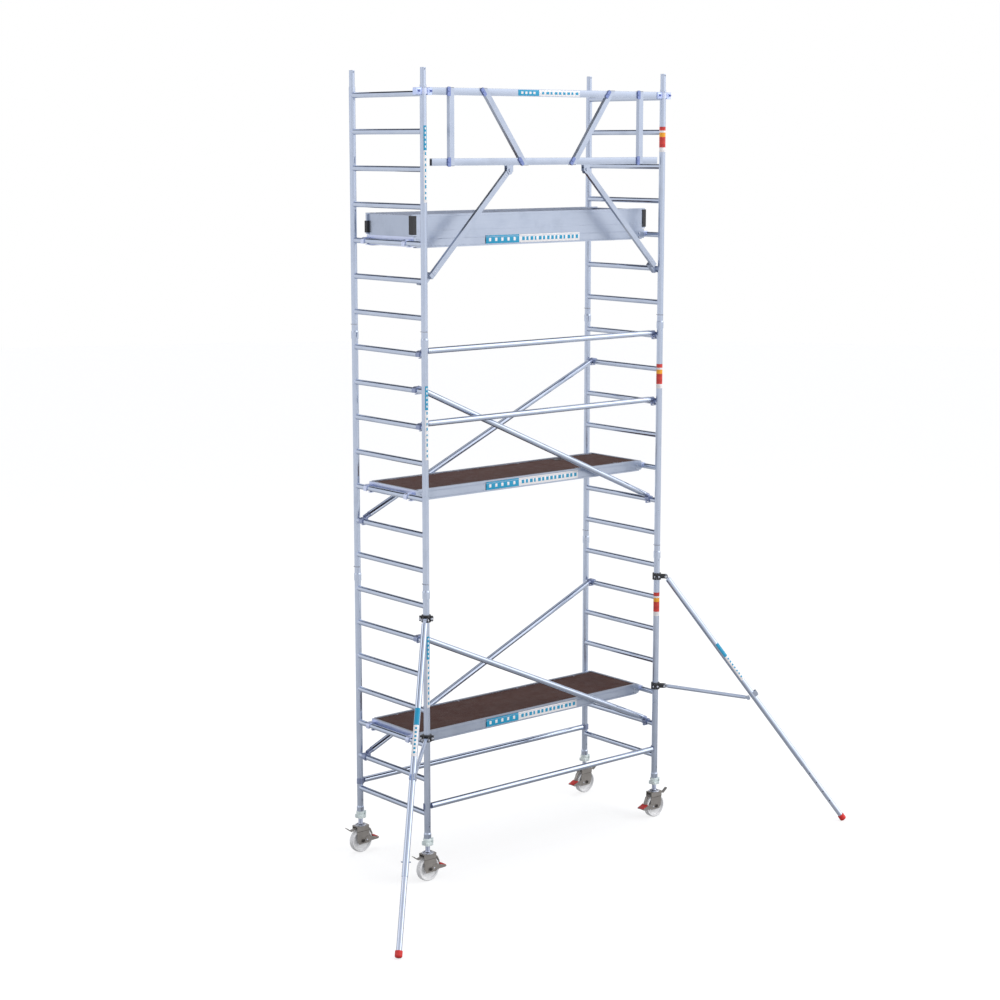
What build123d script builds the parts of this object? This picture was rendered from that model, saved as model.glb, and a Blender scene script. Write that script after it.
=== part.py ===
from build123d import *
import os
from math import atan2, cos, degrees, radians, sin

# A mobile access tower in aluminium: three storeys of ladder frames, three platforms, braces,
# a top guardrail, four castors on levelling spindles and two outriggers. Millimetres, +Z up,
# z = 0 on the floor. Before the last shift, x = y = 0 is the middle of the four legs.

# Tower
tower_length = 2500.0       # between leg axes along X
tower_width = 898.0         # between leg axes along Y
storeys = 3
rung_pitch = 280.0
rungs_per_frame = 7
lowest_rung = 550.0         # height of the lowest rung's axis above the floor
leg_below_rung = 216.0      # from the lowest rung of a frame to the foot of its legs
frame_height = rungs_per_frame * rung_pitch

# Tubes
leg_radius = 25.4
leg_bore = 23.2
collar_radius = 29.2
collar_length = 52.0
collar_taper = 12.0
rung_radius = 22.0
rung_bore = 20.2
spigot_radius = 22.0
spigot_bore = 19.0
spigot_rise = 128.0
spigot_depth = 90.0
brace_radius = 24.0
brace_bore = 22.4
brace_rise = 24.0           # a brace's axis above the axes of the rungs that it hooks on
brace_stand_off = 66.0      # from a rung's axis to the end of the brace's tube
brace_claw_width = 44.0
front_brace_y = -345.0
rear_brace_y = 365.0
guard_tube_y = -395.0
base_brace_rise = 60.0      # a base brace's axis above the lowest rungs
clip_height = 114.0         # locking pin above the joint between two legs
clip_hole = 5.0
rivet_drop = 17.0           # spigot rivet below the top of its leg
rivet_radius = 3.0

# Castors
castor_turn = {-1: 0, 1: 180}   # brake pedals point to the middle of the tower
wheel_radius = 100.0
wheel_width = 50.0
hub_width = 54.0
axle_radius = 10.0
running = 0.05              # radial clearance of turning and sliding fits
cheek_inner = 28.0
cheek_outer = 32.0
arm_outer = 35.5            # outer faces of the brake's side arms
crown_low = 222.0
crown_high = 228.0
spindle_radius = 19.0
spindle_top = 634.0
nut_height = 42.0

# Platforms
platform_rungs = (3, 10, 17)
hatch_rungs = (10, 17)
platform_middle = 22.5      # middle of a platform along Y
platform_half = 302.5
deck_half_length = 1190.0
deck_top = 43.0             # above the rung's axis
deck_thickness = 12.0
rail_top = 51.0
rail_bottom = -38.0
lip_width = 22.0
rail_width = 44.0
rail_wall = 2.5
end_bar_width = 24.0
end_bar_top = 47.0
end_bar_bottom = -30.0
claw_clearance = 0.3
hatch_start = 452.0
hatch_end = 1064.0
hinge_rise = 49.0           # hatch hinge axis above the rung's axis
hinge_inset = 26.0          # hatch hinge axis behind the outer face of the front rail
toeboard_height = 166.0
toeboard_thickness = 20.0

# Guardrail
rail_height = 55.0
rail_depth = 29.0
post_width = 45.0
top_rail_z = 6168.0
low_rail_z = 5642.0
infill_depth = 34.0         # posts and diagonals are deeper than the rails that they straddle
strut_pivot_x = 403.0
strut_pivot_z = 5576.0
strut_plane = -440.0
strut_lean = 44.4           # from the vertical, degrees
strut_start = 24.0          # from the pivot to the tube's upper end
strut_end = 1085.0          # and to its lower end
strut_width = 42.0
strut_depth = 27.0
strut_rung = 16
strut_claw_y = -400.0

# Outriggers
outrigger_turn = 44.5       # outwards from the tower's long side, degrees
pivot_reach = 78.0          # from the leg's axis to the pivots of both clamps
upper_clamp_z = 2135.0
lower_clamp_z = 1172.0
foot_reach = 1642.0         # from the leg's axis to the middle of the foot's tread
foot_radius = 28.0
foot_edge = 14.0
foot_length = 50.0
outer_radius = 24.0
outer_bore = 21.5
outer_length = 2040.0
inner_inserted = 580.0
pin_distance = 1928.0       # sprung pin, from the upper pivot along the tubes
arm_radius = 16.0
arm_end = (800.0, 1080.0)   # outer pivot of the arm, from the leg's axis and above the floor
hole_pitch = 99.0
holes_below_pin = 5
holes_above_pin = 3

half_length = tower_length / 2
half_width = tower_width / 2
leg_foot = lowest_rung - leg_below_rung
corners = {"front_left": (-1, -1), "front_right": (1, -1), "rear_left": (-1, 1), "rear_right": (1, 1)}
nodes = {}


def rung_z(number):
    return lowest_rung + (number - 1) * rung_pitch


def block(x_span, y_span, z_span):
    size = [high - low for low, high in (x_span, y_span, z_span)]
    middle = [(high + low) / 2 for low, high in (x_span, y_span, z_span)]
    return Pos(*middle) * Box(*size)


def rod(start, end, radius, bore=0.0):
    run = Vector(*end) - Vector(*start)
    place = Plane(origin=start, z_dir=run).location
    low = (Align.CENTER, Align.CENTER, Align.MIN)
    body = Cylinder(radius, run.length, align=low)
    if bore:
        body -= Cylinder(bore, run.length, align=low)
    return place * body


def turned(profile, x=0.0, y=0.0, z=0.0):
    """A solid of revolution about a vertical axis, from (radius, height) points."""
    face = make_face(Polyline([(r, 0, h) for r, h in profile], close=True))
    return Pos(x, y, z) * revolve(face, Axis.Z)


def plate_xz(points, y_low, y_high):
    """A flat plate with its outline in the XZ plane, between two values of y."""
    face = make_face(Polyline([(x, y_low, z) for x, z in points], close=True))
    return extrude(face, amount=y_high - y_low, dir=(0, 1, 0))


def add(name, *shapes):
    nodes[name] = [solid for shape in shapes for solid in shape.solids()]


# Ladder frames: two collared legs and seven rungs coped to them

def ladder_frame():
    pieces = []
    envelopes = []
    for side in (-1, 1):
        y = side * half_width
        outline = [(leg_bore, 0), (collar_radius, 0), (collar_radius, collar_length),
                   (leg_radius, collar_length + collar_taper), (leg_radius, frame_height),
                   (leg_bore, frame_height)]
        leg = turned(outline, y=y)
        leg -= rod((0, y - 40, clip_height), (0, y + 40, clip_height), clip_hole)
        rivet_z = frame_height - rivet_drop
        leg -= rod((0, y, rivet_z), (0, y + side * 40, rivet_z), rivet_radius)
        pieces.append(leg)
        envelopes.append(rod((0, y, 0), (0, y, frame_height), leg_radius))
    for number in range(rungs_per_frame):
        z = leg_below_rung + number * rung_pitch
        rung = rod((0, -half_width, z), (0, half_width, z), rung_radius, rung_bore)
        pieces.append(rung - envelopes[0] - envelopes[1])
    return pieces


frame_pieces = ladder_frame()
for storey, level in enumerate(("lower", "middle", "upper")):
    for side, end in ((-1, "left"), (1, "right")):
        place = Pos(side * half_length, 0, leg_foot + storey * frame_height)
        add(f"ladder_frame_{level}_{end}", *[place * piece for piece in frame_pieces])


# Spigots riveted into the tops of the legs, and the sprung clips that lock the joints

def spigot(side):
    outline = [(spigot_bore, -spigot_depth), (leg_bore, -spigot_depth), (leg_bore, 0),
               (spigot_radius, 0), (spigot_radius, spigot_rise - 4), (spigot_radius - 2, spigot_rise),
               (spigot_bore, spigot_rise)]
    body = turned(outline)
    body -= rod((0, -40, clip_height), (0, 40, clip_height), clip_hole)
    body -= rod((0, 0, -rivet_drop), (0, side * 40, -rivet_drop), rivet_radius)
    shank = rod((0, side * spigot_bore, -rivet_drop), (0, side * leg_radius, -rivet_drop), rivet_radius)
    head = rod((0, side * leg_radius, -rivet_drop), (0, side * (leg_radius + 2.5), -rivet_drop), 6)
    return [body, shank + head]


def clip(side):
    """A cross pin with a wire that springs round the outside of the leg."""
    wire_radius = 2.2
    wire_path = leg_radius + 5.5
    pin = rod((0, side * (wire_path + 4), 0), (0, -side * (leg_radius + 5), 0), clip_hole - 0.5)
    section = Plane(origin=(0, side * wire_path, 0), z_dir=(1, 0, 0)) * Circle(wire_radius)
    wire = revolve(section, Axis.Z, revolution_arc=side * 160)
    return pin + wire


spigot_pieces = []
clip_pieces = []
for storey in range(storeys):
    top = leg_foot + (storey + 1) * frame_height
    for x_side, y_side in corners.values():
        place = Pos(x_side * half_length, y_side * half_width, top)
        spigot_pieces += [place * piece for piece in spigot(y_side)]
        if storey < storeys - 1:
            clip_pieces.append(place * Pos(0, 0, clip_height) * clip(y_side))
add("spigots", *spigot_pieces)
add("locking_clips", *clip_pieces)


# Braces: a tube with a cast claw on each end and a catch below each claw

def claw_outline(radius, inner, drop, reach):
    """Claw over a rung at the origin, seen along the rung: +x points into the bay."""
    outline = Circle(radius)
    outline += Pos(0, -drop / 2) * Rectangle(2 * radius, drop)
    outline += Pos(reach / 2, radius / 2) * Rectangle(reach, radius)
    outline -= Circle(inner)
    outline -= Pos(0, -drop) * Rectangle(2 * inner, 2 * drop)
    return outline - Pos(0, -radius) * Rectangle(4 * radius, 2 * (radius - drop))


def extrude_along_y(sketch, x, y, z, width, mirrored):
    face = Plane(origin=(0, -width / 2, 0), x_dir=(-1 if mirrored else 1, 0, 0),
                 z_dir=(0, 1, 0) if mirrored else (0, -1, 0)) * sketch
    return Pos(x, y, z) * extrude(face, amount=width, dir=(0, 1, 0))


def brace(y, left_rung, right_rung):
    """A diagonal or a guard tube between one rung of each end frame."""
    inner = rung_radius + claw_clearance
    ends = [Vector(side * half_length, y, rung_z(number) + brace_rise)
            for side, number in ((-1, left_rung), (1, right_rung))]
    run = (ends[1] - ends[0]).normalized()
    starts = [ends[0] + run * brace_stand_off, ends[1] - run * brace_stand_off]
    pieces = [rod(starts[0], starts[1], brace_radius, brace_bore)]
    for side, number, start, inward in ((-1, left_rung, starts[0], run), (1, right_rung, starts[1], -run)):
        x, z = side * half_length, rung_z(number)
        claw = extrude_along_y(claw_outline(31, inner, 15, 34), x, y, z, brace_claw_width, side > 0)
        plug = rod(start + inward * 40, start, brace_bore)
        neck = rod(start, start - inward * 50, brace_radius - 3)
        room = rod((x, y - 60, z), (x, y + 60, z), inner)
        room += block((x - inner, x + inner), (y - 60, y + 60), (z - 60, z))
        pieces.append(claw + plug + (neck - room))
        catch_x = sorted((x - side * 31, x - side * 37))
        tongue_x = sorted((x - side * 37, x + side * 12))
        catch = block(catch_x, (y - 8, y + 8), (z - 30, z - 2))
        catch += block(tongue_x, (y - 8, y + 8), (z - 30, z - 24.4))
        pieces.append(catch)
    return pieces


add("diagonal_lower_front", *brace(front_brace_y, 6, 2))
add("diagonal_lower_rear", *brace(rear_brace_y, 2, 6))
add("diagonal_middle_front", *brace(front_brace_y, 13, 9))
add("diagonal_middle_rear", *brace(rear_brace_y, 9, 13))
add("guard_tube_upper", *brace(guard_tube_y, 14, 14))
add("guard_tube_lower", *brace(guard_tube_y, 12, 12))


def leg_claw(x_side, y_side, z, reach, facing):
    """Half a ring round one face of a leg, with a neck towards the middle of the tower."""
    x, y = x_side * half_length, y_side * half_width
    ring = rod((x, y, z - 22), (x, y, z + 22), leg_radius + 8)
    ring &= block((x - 60, x + 60), sorted((y, y + facing * 60)), (z - 30, z + 30))
    ring += block(sorted((x - x_side * (leg_radius + 3), x - x_side * reach)),
                  (y - 12, y + 12), (z - 18, z + 18))
    return ring - rod((x, y, z - 40), (x, y, z + 40), leg_radius + claw_clearance)


def base_brace(y_side):
    """The horizontal tube between two legs, just above the lowest rungs."""
    z = lowest_rung + base_brace_rise
    y = y_side * half_width
    end = half_length - 36
    pieces = [rod((-end, y, z), (end, y, z), brace_radius, brace_bore)]
    for side in (-1, 1):
        plug = rod((side * end, y, z), (side * (end - 40), y, z), brace_bore)
        pieces.append(leg_claw(side, y_side, z, 60, -y_side) + plug)
    return pieces


add("base_brace_front", *base_brace(-1))
add("base_brace_rear", *base_brace(1))


# Platforms

def side_rail(y_side):
    """A hollow rail with a lip that holds the deck's edge, along the whole platform."""
    outer = platform_middle + y_side * platform_half

    def span(low, high):
        return sorted((outer - y_side * low, outer - y_side * high))

    ledge = deck_top - deck_thickness
    x_span = (-deck_half_length, deck_half_length)
    rail = block(x_span, span(0, rail_width), (rail_bottom, ledge))
    rail += block(x_span, span(0, lip_width), (rail_bottom, rail_top))
    floor = rail_bottom + rail_wall
    rail -= block(x_span, span(rail_wall, rail_width - rail_wall), (floor, ledge - rail_wall))
    rail -= block(x_span, span(rail_wall, lip_width - rail_wall), (floor, rail_top - rail_wall))
    return rail


def hatch_hinge_spans():
    """X spans of the two hinges of a hatch."""
    return [(middle - 32, middle + 32) for middle in (hatch_start + 90, hatch_end - 90)]


front_edge = platform_middle - platform_half
rear_edge = platform_middle + platform_half
deck_y = (front_edge + lip_width, rear_edge - lip_width)
hinge_y = front_edge + hinge_inset
deck_z = (deck_top - deck_thickness, deck_top)


def platform_frame(with_hatch):
    pieces = [side_rail(-1), side_rail(1)]
    for side in (-1, 1):
        x_span = sorted((side * deck_half_length, side * (deck_half_length + end_bar_width)))
        bar = block(x_span, (front_edge, rear_edge), (end_bar_bottom, end_bar_top))
        hollow_x = sorted((side * (deck_half_length + rail_wall),
                           side * (deck_half_length + end_bar_width - rail_wall)))
        bar -= block(hollow_x, (front_edge + rail_wall, rear_edge - rail_wall),
                     (end_bar_bottom + rail_wall, end_bar_top - rail_wall))
        pieces.append(bar)
        reach = half_length - deck_half_length - end_bar_width
        inner = rung_radius + claw_clearance
        for offset in (-247.5, 277.5):
            y = platform_middle - side * offset
            claw = claw_outline(29, inner, 21, reach)
            pieces.append(extrude_along_y(claw, side * half_length, y, 0, 40, side > 0))
            lock_y = y + side * 45
            lock_x = sorted((side * (half_length - reach), side * (half_length + 18)))
            pieces.append(block(lock_x, (lock_y - 15, lock_y + 15), (-30, -24)))
    cross_x = [-900.0, -450.0, 0.0]
    cross_x += [hatch_start, hatch_end] if with_hatch else [450.0, 900.0]
    inside = (front_edge + rail_width, rear_edge - rail_width)
    for x in cross_x:
        cross = block((x - 18, x + 18), inside, (-9, deck_z[0]))
        pieces.append(cross - block((x - 15.5, x + 15.5), inside, (-6.5, deck_z[0] - 2.5)))
    if with_hatch:
        for low, high in hatch_hinge_spans():
            for knuckle in ((low - 16, low - 0.5), (high + 0.5, high + 16)):
                pad = block(knuckle, (front_edge + lip_width, hinge_y), (46, rail_top))
                pin_end = knuckle[1] if knuckle[0] < low else knuckle[0]
                pin = rod((pin_end, hinge_y, hinge_rise), ((low + high) / 2, hinge_y, hinge_rise), 2)
                barrel = rod((knuckle[0], hinge_y, hinge_rise), (knuckle[1], hinge_y, hinge_rise), 3.8)
                pieces.append(pad + barrel + pin)
    return pieces


def deck(with_hatch):
    board = block((-deck_half_length, deck_half_length), deck_y, deck_z)
    if with_hatch:
        board -= block((hatch_start - 1.5, hatch_end + 1.5), deck_y, deck_z)
    return [board]


def hatch():
    panel = block((hatch_start + 1.5, hatch_end - 1.5), (hinge_y, deck_y[1] - 2), deck_z)
    pieces = [panel]
    for low, high in hatch_hinge_spans():
        leaf = block((low, high), (hinge_y, hinge_y + 62), (deck_top, deck_top + 2.5))
        leaf += rod((low, hinge_y, hinge_rise), (high, hinge_y, hinge_rise), 3.8)
        pieces.append(leaf - rod((low, hinge_y, hinge_rise), (high, hinge_y, hinge_rise), 2 + running))
    return pieces


for level, number in zip(("lower", "middle", "upper"), platform_rungs):
    place = Pos(0, 0, rung_z(number))
    with_hatch = number in hatch_rungs
    add(f"platform_frame_{level}", *[place * piece for piece in platform_frame(with_hatch)])
    add(f"deck_{level}", *[place * piece for piece in deck(with_hatch)])
    if with_hatch:
        add(f"hatch_{level}", *[place * piece for piece in hatch()])


# Toeboards round the top platform, held together by moulded corner brackets

top_rung = rung_z(platform_rungs[-1])
board_z = (top_rung + rail_top, top_rung + rail_top + toeboard_height)
end_board_z = (top_rung + end_bar_top, top_rung + rail_top + toeboard_height - 8)
board_end = deck_half_length + 34
front_board_y = (front_edge, front_edge + toeboard_thickness)
rear_board_y = (rear_edge - toeboard_thickness, rear_edge)
end_board_x = (deck_half_length, deck_half_length + toeboard_thickness)
add("toeboards_long",
    block((-board_end, board_end), front_board_y, board_z),
    block((-board_end, board_end), rear_board_y, board_z))
add("toeboards_end", *[block(sorted((side * end_board_x[0], side * end_board_x[1])),
                             (front_board_y[1], rear_board_y[0]), end_board_z) for side in (-1, 1)])
bracket_pieces = []
for x_side in (-1, 1):
    for y_side, board_y in ((-1, front_board_y), (1, rear_board_y)):
        z_span = (board_z[0] + 12, board_z[1] - (10 if y_side < 0 else 62))
        inner_y = board_y[1] if y_side < 0 else board_y[0]
        outer_y = board_y[0] if y_side < 0 else board_y[1]
        wing_width = 42 if y_side < 0 else 8
        wing = block(sorted((x_side * end_board_x[1], x_side * (end_board_x[1] + 6))),
                     sorted((inner_y, inner_y - y_side * wing_width)), z_span)
        cap = block(sorted((x_side * board_end, x_side * (board_end + 6))),
                    sorted((inner_y - y_side * 6, outer_y + y_side * 6)), z_span)
        skin = block(sorted((x_side * (board_end - 30), x_side * (board_end + 6))),
                     sorted((outer_y, outer_y + y_side * 6)), z_span)
        link = block(sorted((x_side * end_board_x[1], x_side * (board_end + 6))),
                     sorted((inner_y, inner_y - y_side * 6)), z_span)
        bracket_pieces.append(wing + cap + skin + link)
add("toeboard_brackets", *bracket_pieces)


# Guardrail: two rails, two posts and two diagonals, hooked to the legs and propped by two struts

def rail_tube(x_low, x_high, z):
    place = Pos((x_low + x_high) / 2, -half_width, z)
    tube = place * Box(x_high - x_low, rail_depth, rail_height)
    return tube - place * Box(x_high - x_low, rail_depth - 2 * rail_wall, rail_height - 2 * rail_wall)


def infill(low_x, high_x):
    """A post or a diagonal that straddles both rails, from low_x at its foot to high_x at its head."""
    low_z, high_z = low_rail_z - rail_height / 2, top_rail_z + rail_height / 2
    run = Vector(high_x - low_x, 0, high_z - low_z)
    tilt = degrees(atan2(run.X, run.Z))
    place = Pos((low_x + high_x) / 2, -half_width, (low_z + high_z) / 2) * Rot(0, tilt, 0)
    tube = place * Box(post_width, infill_depth, run.length + 200)
    tube -= place * Box(post_width - 2 * rail_wall, infill_depth - 2 * rail_wall, run.length + 220)
    tube &= block((-half_length, half_length), (-half_width - 40, -half_width + 40), (low_z, high_z))
    for z in (low_rail_z, top_rail_z):
        tube -= Pos(0, -half_width, z) * Box(tower_length, rail_depth, rail_height)
    return tube


def strut_bracket(side):
    """Two cheeks under the lower rail with the pin that a strut swings on."""
    x, z = side * strut_pivot_x, strut_pivot_z
    rail_bottom_z = low_rail_z - rail_height / 2
    gap = strut_depth / 2 + 0.5
    faces = (strut_plane - gap - 4, strut_plane + gap + 4)
    bracket = block((x - 34, x + 34), faces, (rail_bottom_z - 6, rail_bottom_z))
    for y in (strut_plane - gap, strut_plane + gap + 4):
        bracket += block((x - 30, x + 30), (y - 4, y), (z - 12, rail_bottom_z))
        bracket += rod((x, y - 4, z - 12), (x, y, z - 12), 22)
    bracket += rod((x, faces[0] - 7, z), (x, faces[1] + 7, z), 7)
    for side_of_pin, face in ((-1, faces[0]), (1, faces[1])):
        bracket += rod((x, face, z), (x, face + side_of_pin * 7, z), 13)
    return bracket


rail_end = half_length - 54
add("guardrail_frame",
    rail_tube(-rail_end, rail_end, top_rail_z),
    rail_tube(-half_length + 70, half_length - 70, low_rail_z),
    infill(-988, -988), infill(988, 988), infill(-250, -668), infill(250, 668),
    leg_claw(-1, -1, top_rail_z, 54, -1), leg_claw(1, -1, top_rail_z, 54, -1),
    strut_bracket(-1), strut_bracket(1))


def strut(side):
    """A flat tube from the lower rail down to a rung, with an open claw cast on its foot."""
    lean = radians(strut_lean)
    along = Pos(side * strut_pivot_x, strut_plane, strut_pivot_z) * Rot(0, side * (180 - strut_lean), 0)
    length, middle = strut_end - strut_start, (strut_end + strut_start) / 2
    wall = 2 * rail_wall
    tube = Pos(0, 0, middle) * Box(strut_width, strut_depth, length)
    tube -= Pos(0, 0, middle) * Box(strut_width - wall, strut_depth - wall, length + 1)
    eye = Rot(90, 0, 0) * Cylinder(17, strut_depth)
    eye += Pos(0, 0, strut_start / 2) * Box(28, strut_depth, strut_start)
    eye += Pos(0, 0, strut_start + 20) * Box(strut_width - wall, strut_depth - wall, 40)
    eye -= Rot(90, 0, 0) * Cylinder(7 + running, 2 * strut_depth)
    across = half_length - strut_pivot_x
    drop = strut_pivot_z - rung_z(strut_rung)
    rung_along = across * sin(lean) + drop * cos(lean)
    rung_aside = across * cos(lean) - drop * sin(lean)
    claw_y = strut_claw_y - strut_plane
    inner = rung_radius + claw_clearance
    ring = Pos(-side * rung_aside, claw_y, rung_along) * Rot(90, 0, 0) * Cylinder(32, 40)
    ring &= Pos(side * (50 - rung_aside), claw_y, rung_along) * Box(100, 60, 100)
    neck_middle = (strut_end + rung_along) / 2
    ring += Pos(side * 1, claw_y, neck_middle) * Box(44, 40, rung_along - strut_end)
    ring += Pos(0, claw_y / 2, strut_end + 16) * Box(strut_width, claw_y + strut_depth - 4, 32)
    ring += Pos(0, 0, strut_end - 20) * Box(strut_width - wall, strut_depth - wall, 40)
    rung_room = Pos(-side * rung_aside, claw_y, rung_along)
    ring -= rung_room * Rot(90, 0, 0) * Cylinder(inner, 60)
    ring -= rung_room * Pos(-side * 50, 0, 0) * Box(100, 60, 2 * inner)
    return [along * tube, along * eye, along * ring]


add("guardrail_strut_left", *strut(-1))
add("guardrail_strut_right", *strut(1))


# Castors: levelling spindle and its nut, swivelling fork, wheel, and brake rocker

def spindle():
    outline = [(0, crown_low - 5), (13, crown_low - 5), (13, crown_low - running),
               (8, crown_low - running), (8, crown_high + running), (38, crown_high + running),
               (38, crown_high + 9), (24, crown_high + 16), (spindle_radius, crown_high + 16),
               (spindle_radius, spindle_top), (0, spindle_top)]
    return [turned(outline)]


def nut():
    low = leg_foot - nut_height
    body = rod((0, 0, low), (0, 0, leg_foot), 33)
    body += block((-47, 47), (-14, 14), (low, low + 28))
    body += block((-14, 14), (-44, 44), (low, low + 28))
    body += block((34, 47), (-14, 14), (low, leg_foot + 18))
    return [body - rod((0, 0, low - 1), (0, 0, leg_foot + 1), spindle_radius + running)]


def fork():
    outline = [(-58, crown_high), (60, crown_high), (60, 182), (66, 152), (66, 84), (58, 74),
               (-36, 72), (-54, 104), (-58, 182)]
    body = block((-58, 60), (-36, 36), (crown_low, crown_high))
    for side in (-1, 1):
        body += plate_xz(outline, *sorted((side * cheek_inner, side * cheek_outer)))
        body += block((-58, 60), sorted((side * cheek_inner, side * 36)), (184, crown_high))
    body -= rod((0, -50, wheel_radius), (0, 50, wheel_radius), axle_radius)
    body -= rod((0, 0, crown_low - 1), (0, 0, crown_high + 1), 8 + running)
    axle = rod((0, -cheek_outer, wheel_radius), (0, cheek_outer, wheel_radius), axle_radius)
    for side in (-1, 1):
        nut_face = Plane(origin=(0, side * cheek_outer, wheel_radius), z_dir=(0, side, 0))
        axle += extrude(nut_face * RegularPolygon(15, 6), amount=8)
    return [body, axle]


def wheel():
    half, hub, bore = wheel_width / 2, hub_width / 2, axle_radius + running
    outline = [(bore, -hub), (30, -hub), (34, -10), (78, -10), (84, -half + 3), (90, -half),
               (96, -half), (99, -half + 4), (wheel_radius, -half + 9)]
    outline += [(r, -h) for r, h in reversed(outline)]
    return [Pos(0, 0, wheel_radius) * Rot(90, 0, 0) * turned(outline)]


def brake():
    """One rocker over the wheel: a release lever at one end, the pedal and its tread at the other."""
    strip = [(-150, 226), (-102, 190), (-86, 196), (-52, 205), (52, 205), (92, 176), (108, 140),
             (114, 140), (98, 180), (54, 211), (-54, 211), (-92, 203), (-104, 199), (-148, 232)]
    body = plate_xz(strip, -14, 14)
    body += block((108, 114), (-arm_outer, arm_outer), (86, 142))
    side_arm = [(22, 84), (22, 118), (60, 146), (114, 142), (163, 96), (158, 84)]
    for side in (-1, 1):
        body += plate_xz(side_arm, *sorted((side * (cheek_outer + 0.5), side * arm_outer)))
        body -= rod((40, side * 30, 100), (40, side * 40, 100), 4)
    tread = plate_xz([(114, 142), (163, 96), (168, 101), (119, 148)], -arm_outer, arm_outer)
    return [body, tread]


castor_pieces = {"spindle": spindle(), "nut": nut(), "fork": fork(), "wheel": wheel(), "brake": brake()}
for corner, (x_side, y_side) in corners.items():
    place = Pos(x_side * half_length, y_side * half_width, 0) * Rot(0, 0, castor_turn[x_side])
    for piece, shapes in castor_pieces.items():
        add(f"{piece}_{corner}", *[place * shape for shape in shapes])


# Outriggers: drawn in their own upright plane, +x outwards from the leg's axis

foot_low_z = foot_edge * (1 - cos(radians(36.4))) + (foot_radius - foot_edge) * sin(radians(36.4))
pivot = Vector(pivot_reach, 0, upper_clamp_z)
tread = Vector(foot_reach, 0, foot_low_z)
outrigger_length = (tread - pivot).length
down_tube = (tread - pivot).normalized()
tube_tilt = degrees(atan2(down_tube.X, down_tube.Z))
along_tube = Pos(pivot.X, 0, pivot.Z) * Rot(0, tube_tilt, 0)


def clamp(z):
    """A coupler on a leg: saddle with the pivot lug, hinged jaw, bolt, and the pivot bolt."""
    ring = rod((0, 0, z - 28), (0, 0, z + 28), 37)
    ears = block((-12, 12), (-54, 54), (z - 20, z + 20))
    bore = rod((0, 0, z - 40), (0, 0, z + 40), leg_radius + running)
    saddle = (ring + ears) & block((1.5, 80), (-80, 80), (z - 40, z + 40))
    for side in (-1, 1):
        lug = block((30, pivot_reach), sorted((side * 16, side * 22)), (z - 16, z + 16))
        lug += rod((pivot_reach, side * 16, z), (pivot_reach, side * 22, z), 16)
        saddle += lug
    saddle -= bore
    saddle -= rod((pivot_reach, -30, z), (pivot_reach, 30, z), 6)
    jaw = ((ring + ears) & block((-80, -1.5), (-80, 80), (z - 40, z + 40))) - bore
    pieces = []
    for side in (-1, 1):
        bolt_room = rod((-30, side * 46, z), (30, side * 46, z), 5)
        saddle -= bolt_room
        jaw -= bolt_room
        bolt = rod((-20, side * 46, z), (16, side * 46, z), 5)
        bolt += rod((-20, side * 46, z), (-12, side * 46, z), 9)
        bolt += rod((12, side * 46, z), (22, side * 46, z), 9)
        pieces.append(bolt)
    pivot_bolt = rod((pivot_reach, -22, z), (pivot_reach, 22, z), 6)
    for side in (-1, 1):
        pivot_bolt += rod((pivot_reach, side * 22, z), (pivot_reach, side * 28, z), 10)
    return [saddle, jaw, pivot_bolt] + pieces


def eye(place, reach, plug_radius, plug_length):
    """A forged eye at the origin of place, with a plug along +z that fits into a tube."""
    body = Rot(90, 0, 0) * Cylinder(15, 31.6)
    body += Pos(0, 0, reach / 2) * Box(24, 24, reach)
    body += Pos(0, 0, reach + plug_length / 2) * Cylinder(plug_radius, plug_length)
    return place * (body - Rot(90, 0, 0) * Cylinder(6, 60))


def outer_tube():
    tube = along_tube * Pos(0, 0, (30 + outer_length) / 2) * Cylinder(outer_radius, outer_length - 30)
    tube -= along_tube * Pos(0, 0, (30 + outer_length) / 2) * Cylinder(outer_bore, outer_length)
    toward = Vector(arm_end[0], 0, arm_end[1]) - pivot
    distance = toward.dot(down_tube)
    offset = toward - down_tube * distance
    lugs = []
    for side in (-1, 1):
        lug = along_tube * Pos(-offset.length / 2, side * 19, distance) * Box(offset.length, 6, 46)
        lug += rod((arm_end[0], side * 16, arm_end[1]), (arm_end[0], side * 22, arm_end[1]), 15)
        lug -= along_tube * Pos(0, 0, distance) * Cylinder(outer_radius, 200)
        lug -= rod((arm_end[0], -30, arm_end[1]), (arm_end[0], 30, arm_end[1]), 6)
        lugs.append(lug)
    bolt = rod((arm_end[0], -26, arm_end[1]), (arm_end[0], 26, arm_end[1]), 6)
    return [tube, eye(along_tube, 30, outer_bore, 40), bolt] + lugs


def arm():
    start = Vector(pivot_reach, 0, lower_clamp_z)
    end = Vector(arm_end[0], 0, arm_end[1])
    run = end - start
    tilt = degrees(atan2(run.X, run.Z))
    inward = Pos(start.X, 0, start.Z) * Rot(0, tilt, 0)
    outward = Pos(end.X, 0, end.Z) * Rot(0, tilt + 180, 0)
    tube = inward * Pos(0, 0, run.length / 2) * Cylinder(arm_radius, run.length - 60)
    tube -= inward * Pos(0, 0, run.length / 2) * Cylinder(arm_radius - 2, run.length)
    return [tube, eye(inward, 30, arm_radius - 2, 40), eye(outward, 30, arm_radius - 2, 40)]


def inner_tube():
    radius = outer_bore - running
    top = outer_length - inner_inserted
    bottom = outrigger_length - 15
    tube = along_tube * Pos(0, 0, (top + bottom) / 2) * Cylinder(radius, bottom - top)
    tube -= along_tube * Pos(0, 0, (top + bottom) / 2) * Cylinder(radius - 3, bottom - top)
    for number in range(-holes_above_pin, holes_below_pin + 1):
        distance = pin_distance + number * hole_pitch
        tube -= along_tube * Pos(0, 0, distance) * Rot(90, 0, 0) * Cylinder(clip_hole, 60)
    return [tube]


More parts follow.
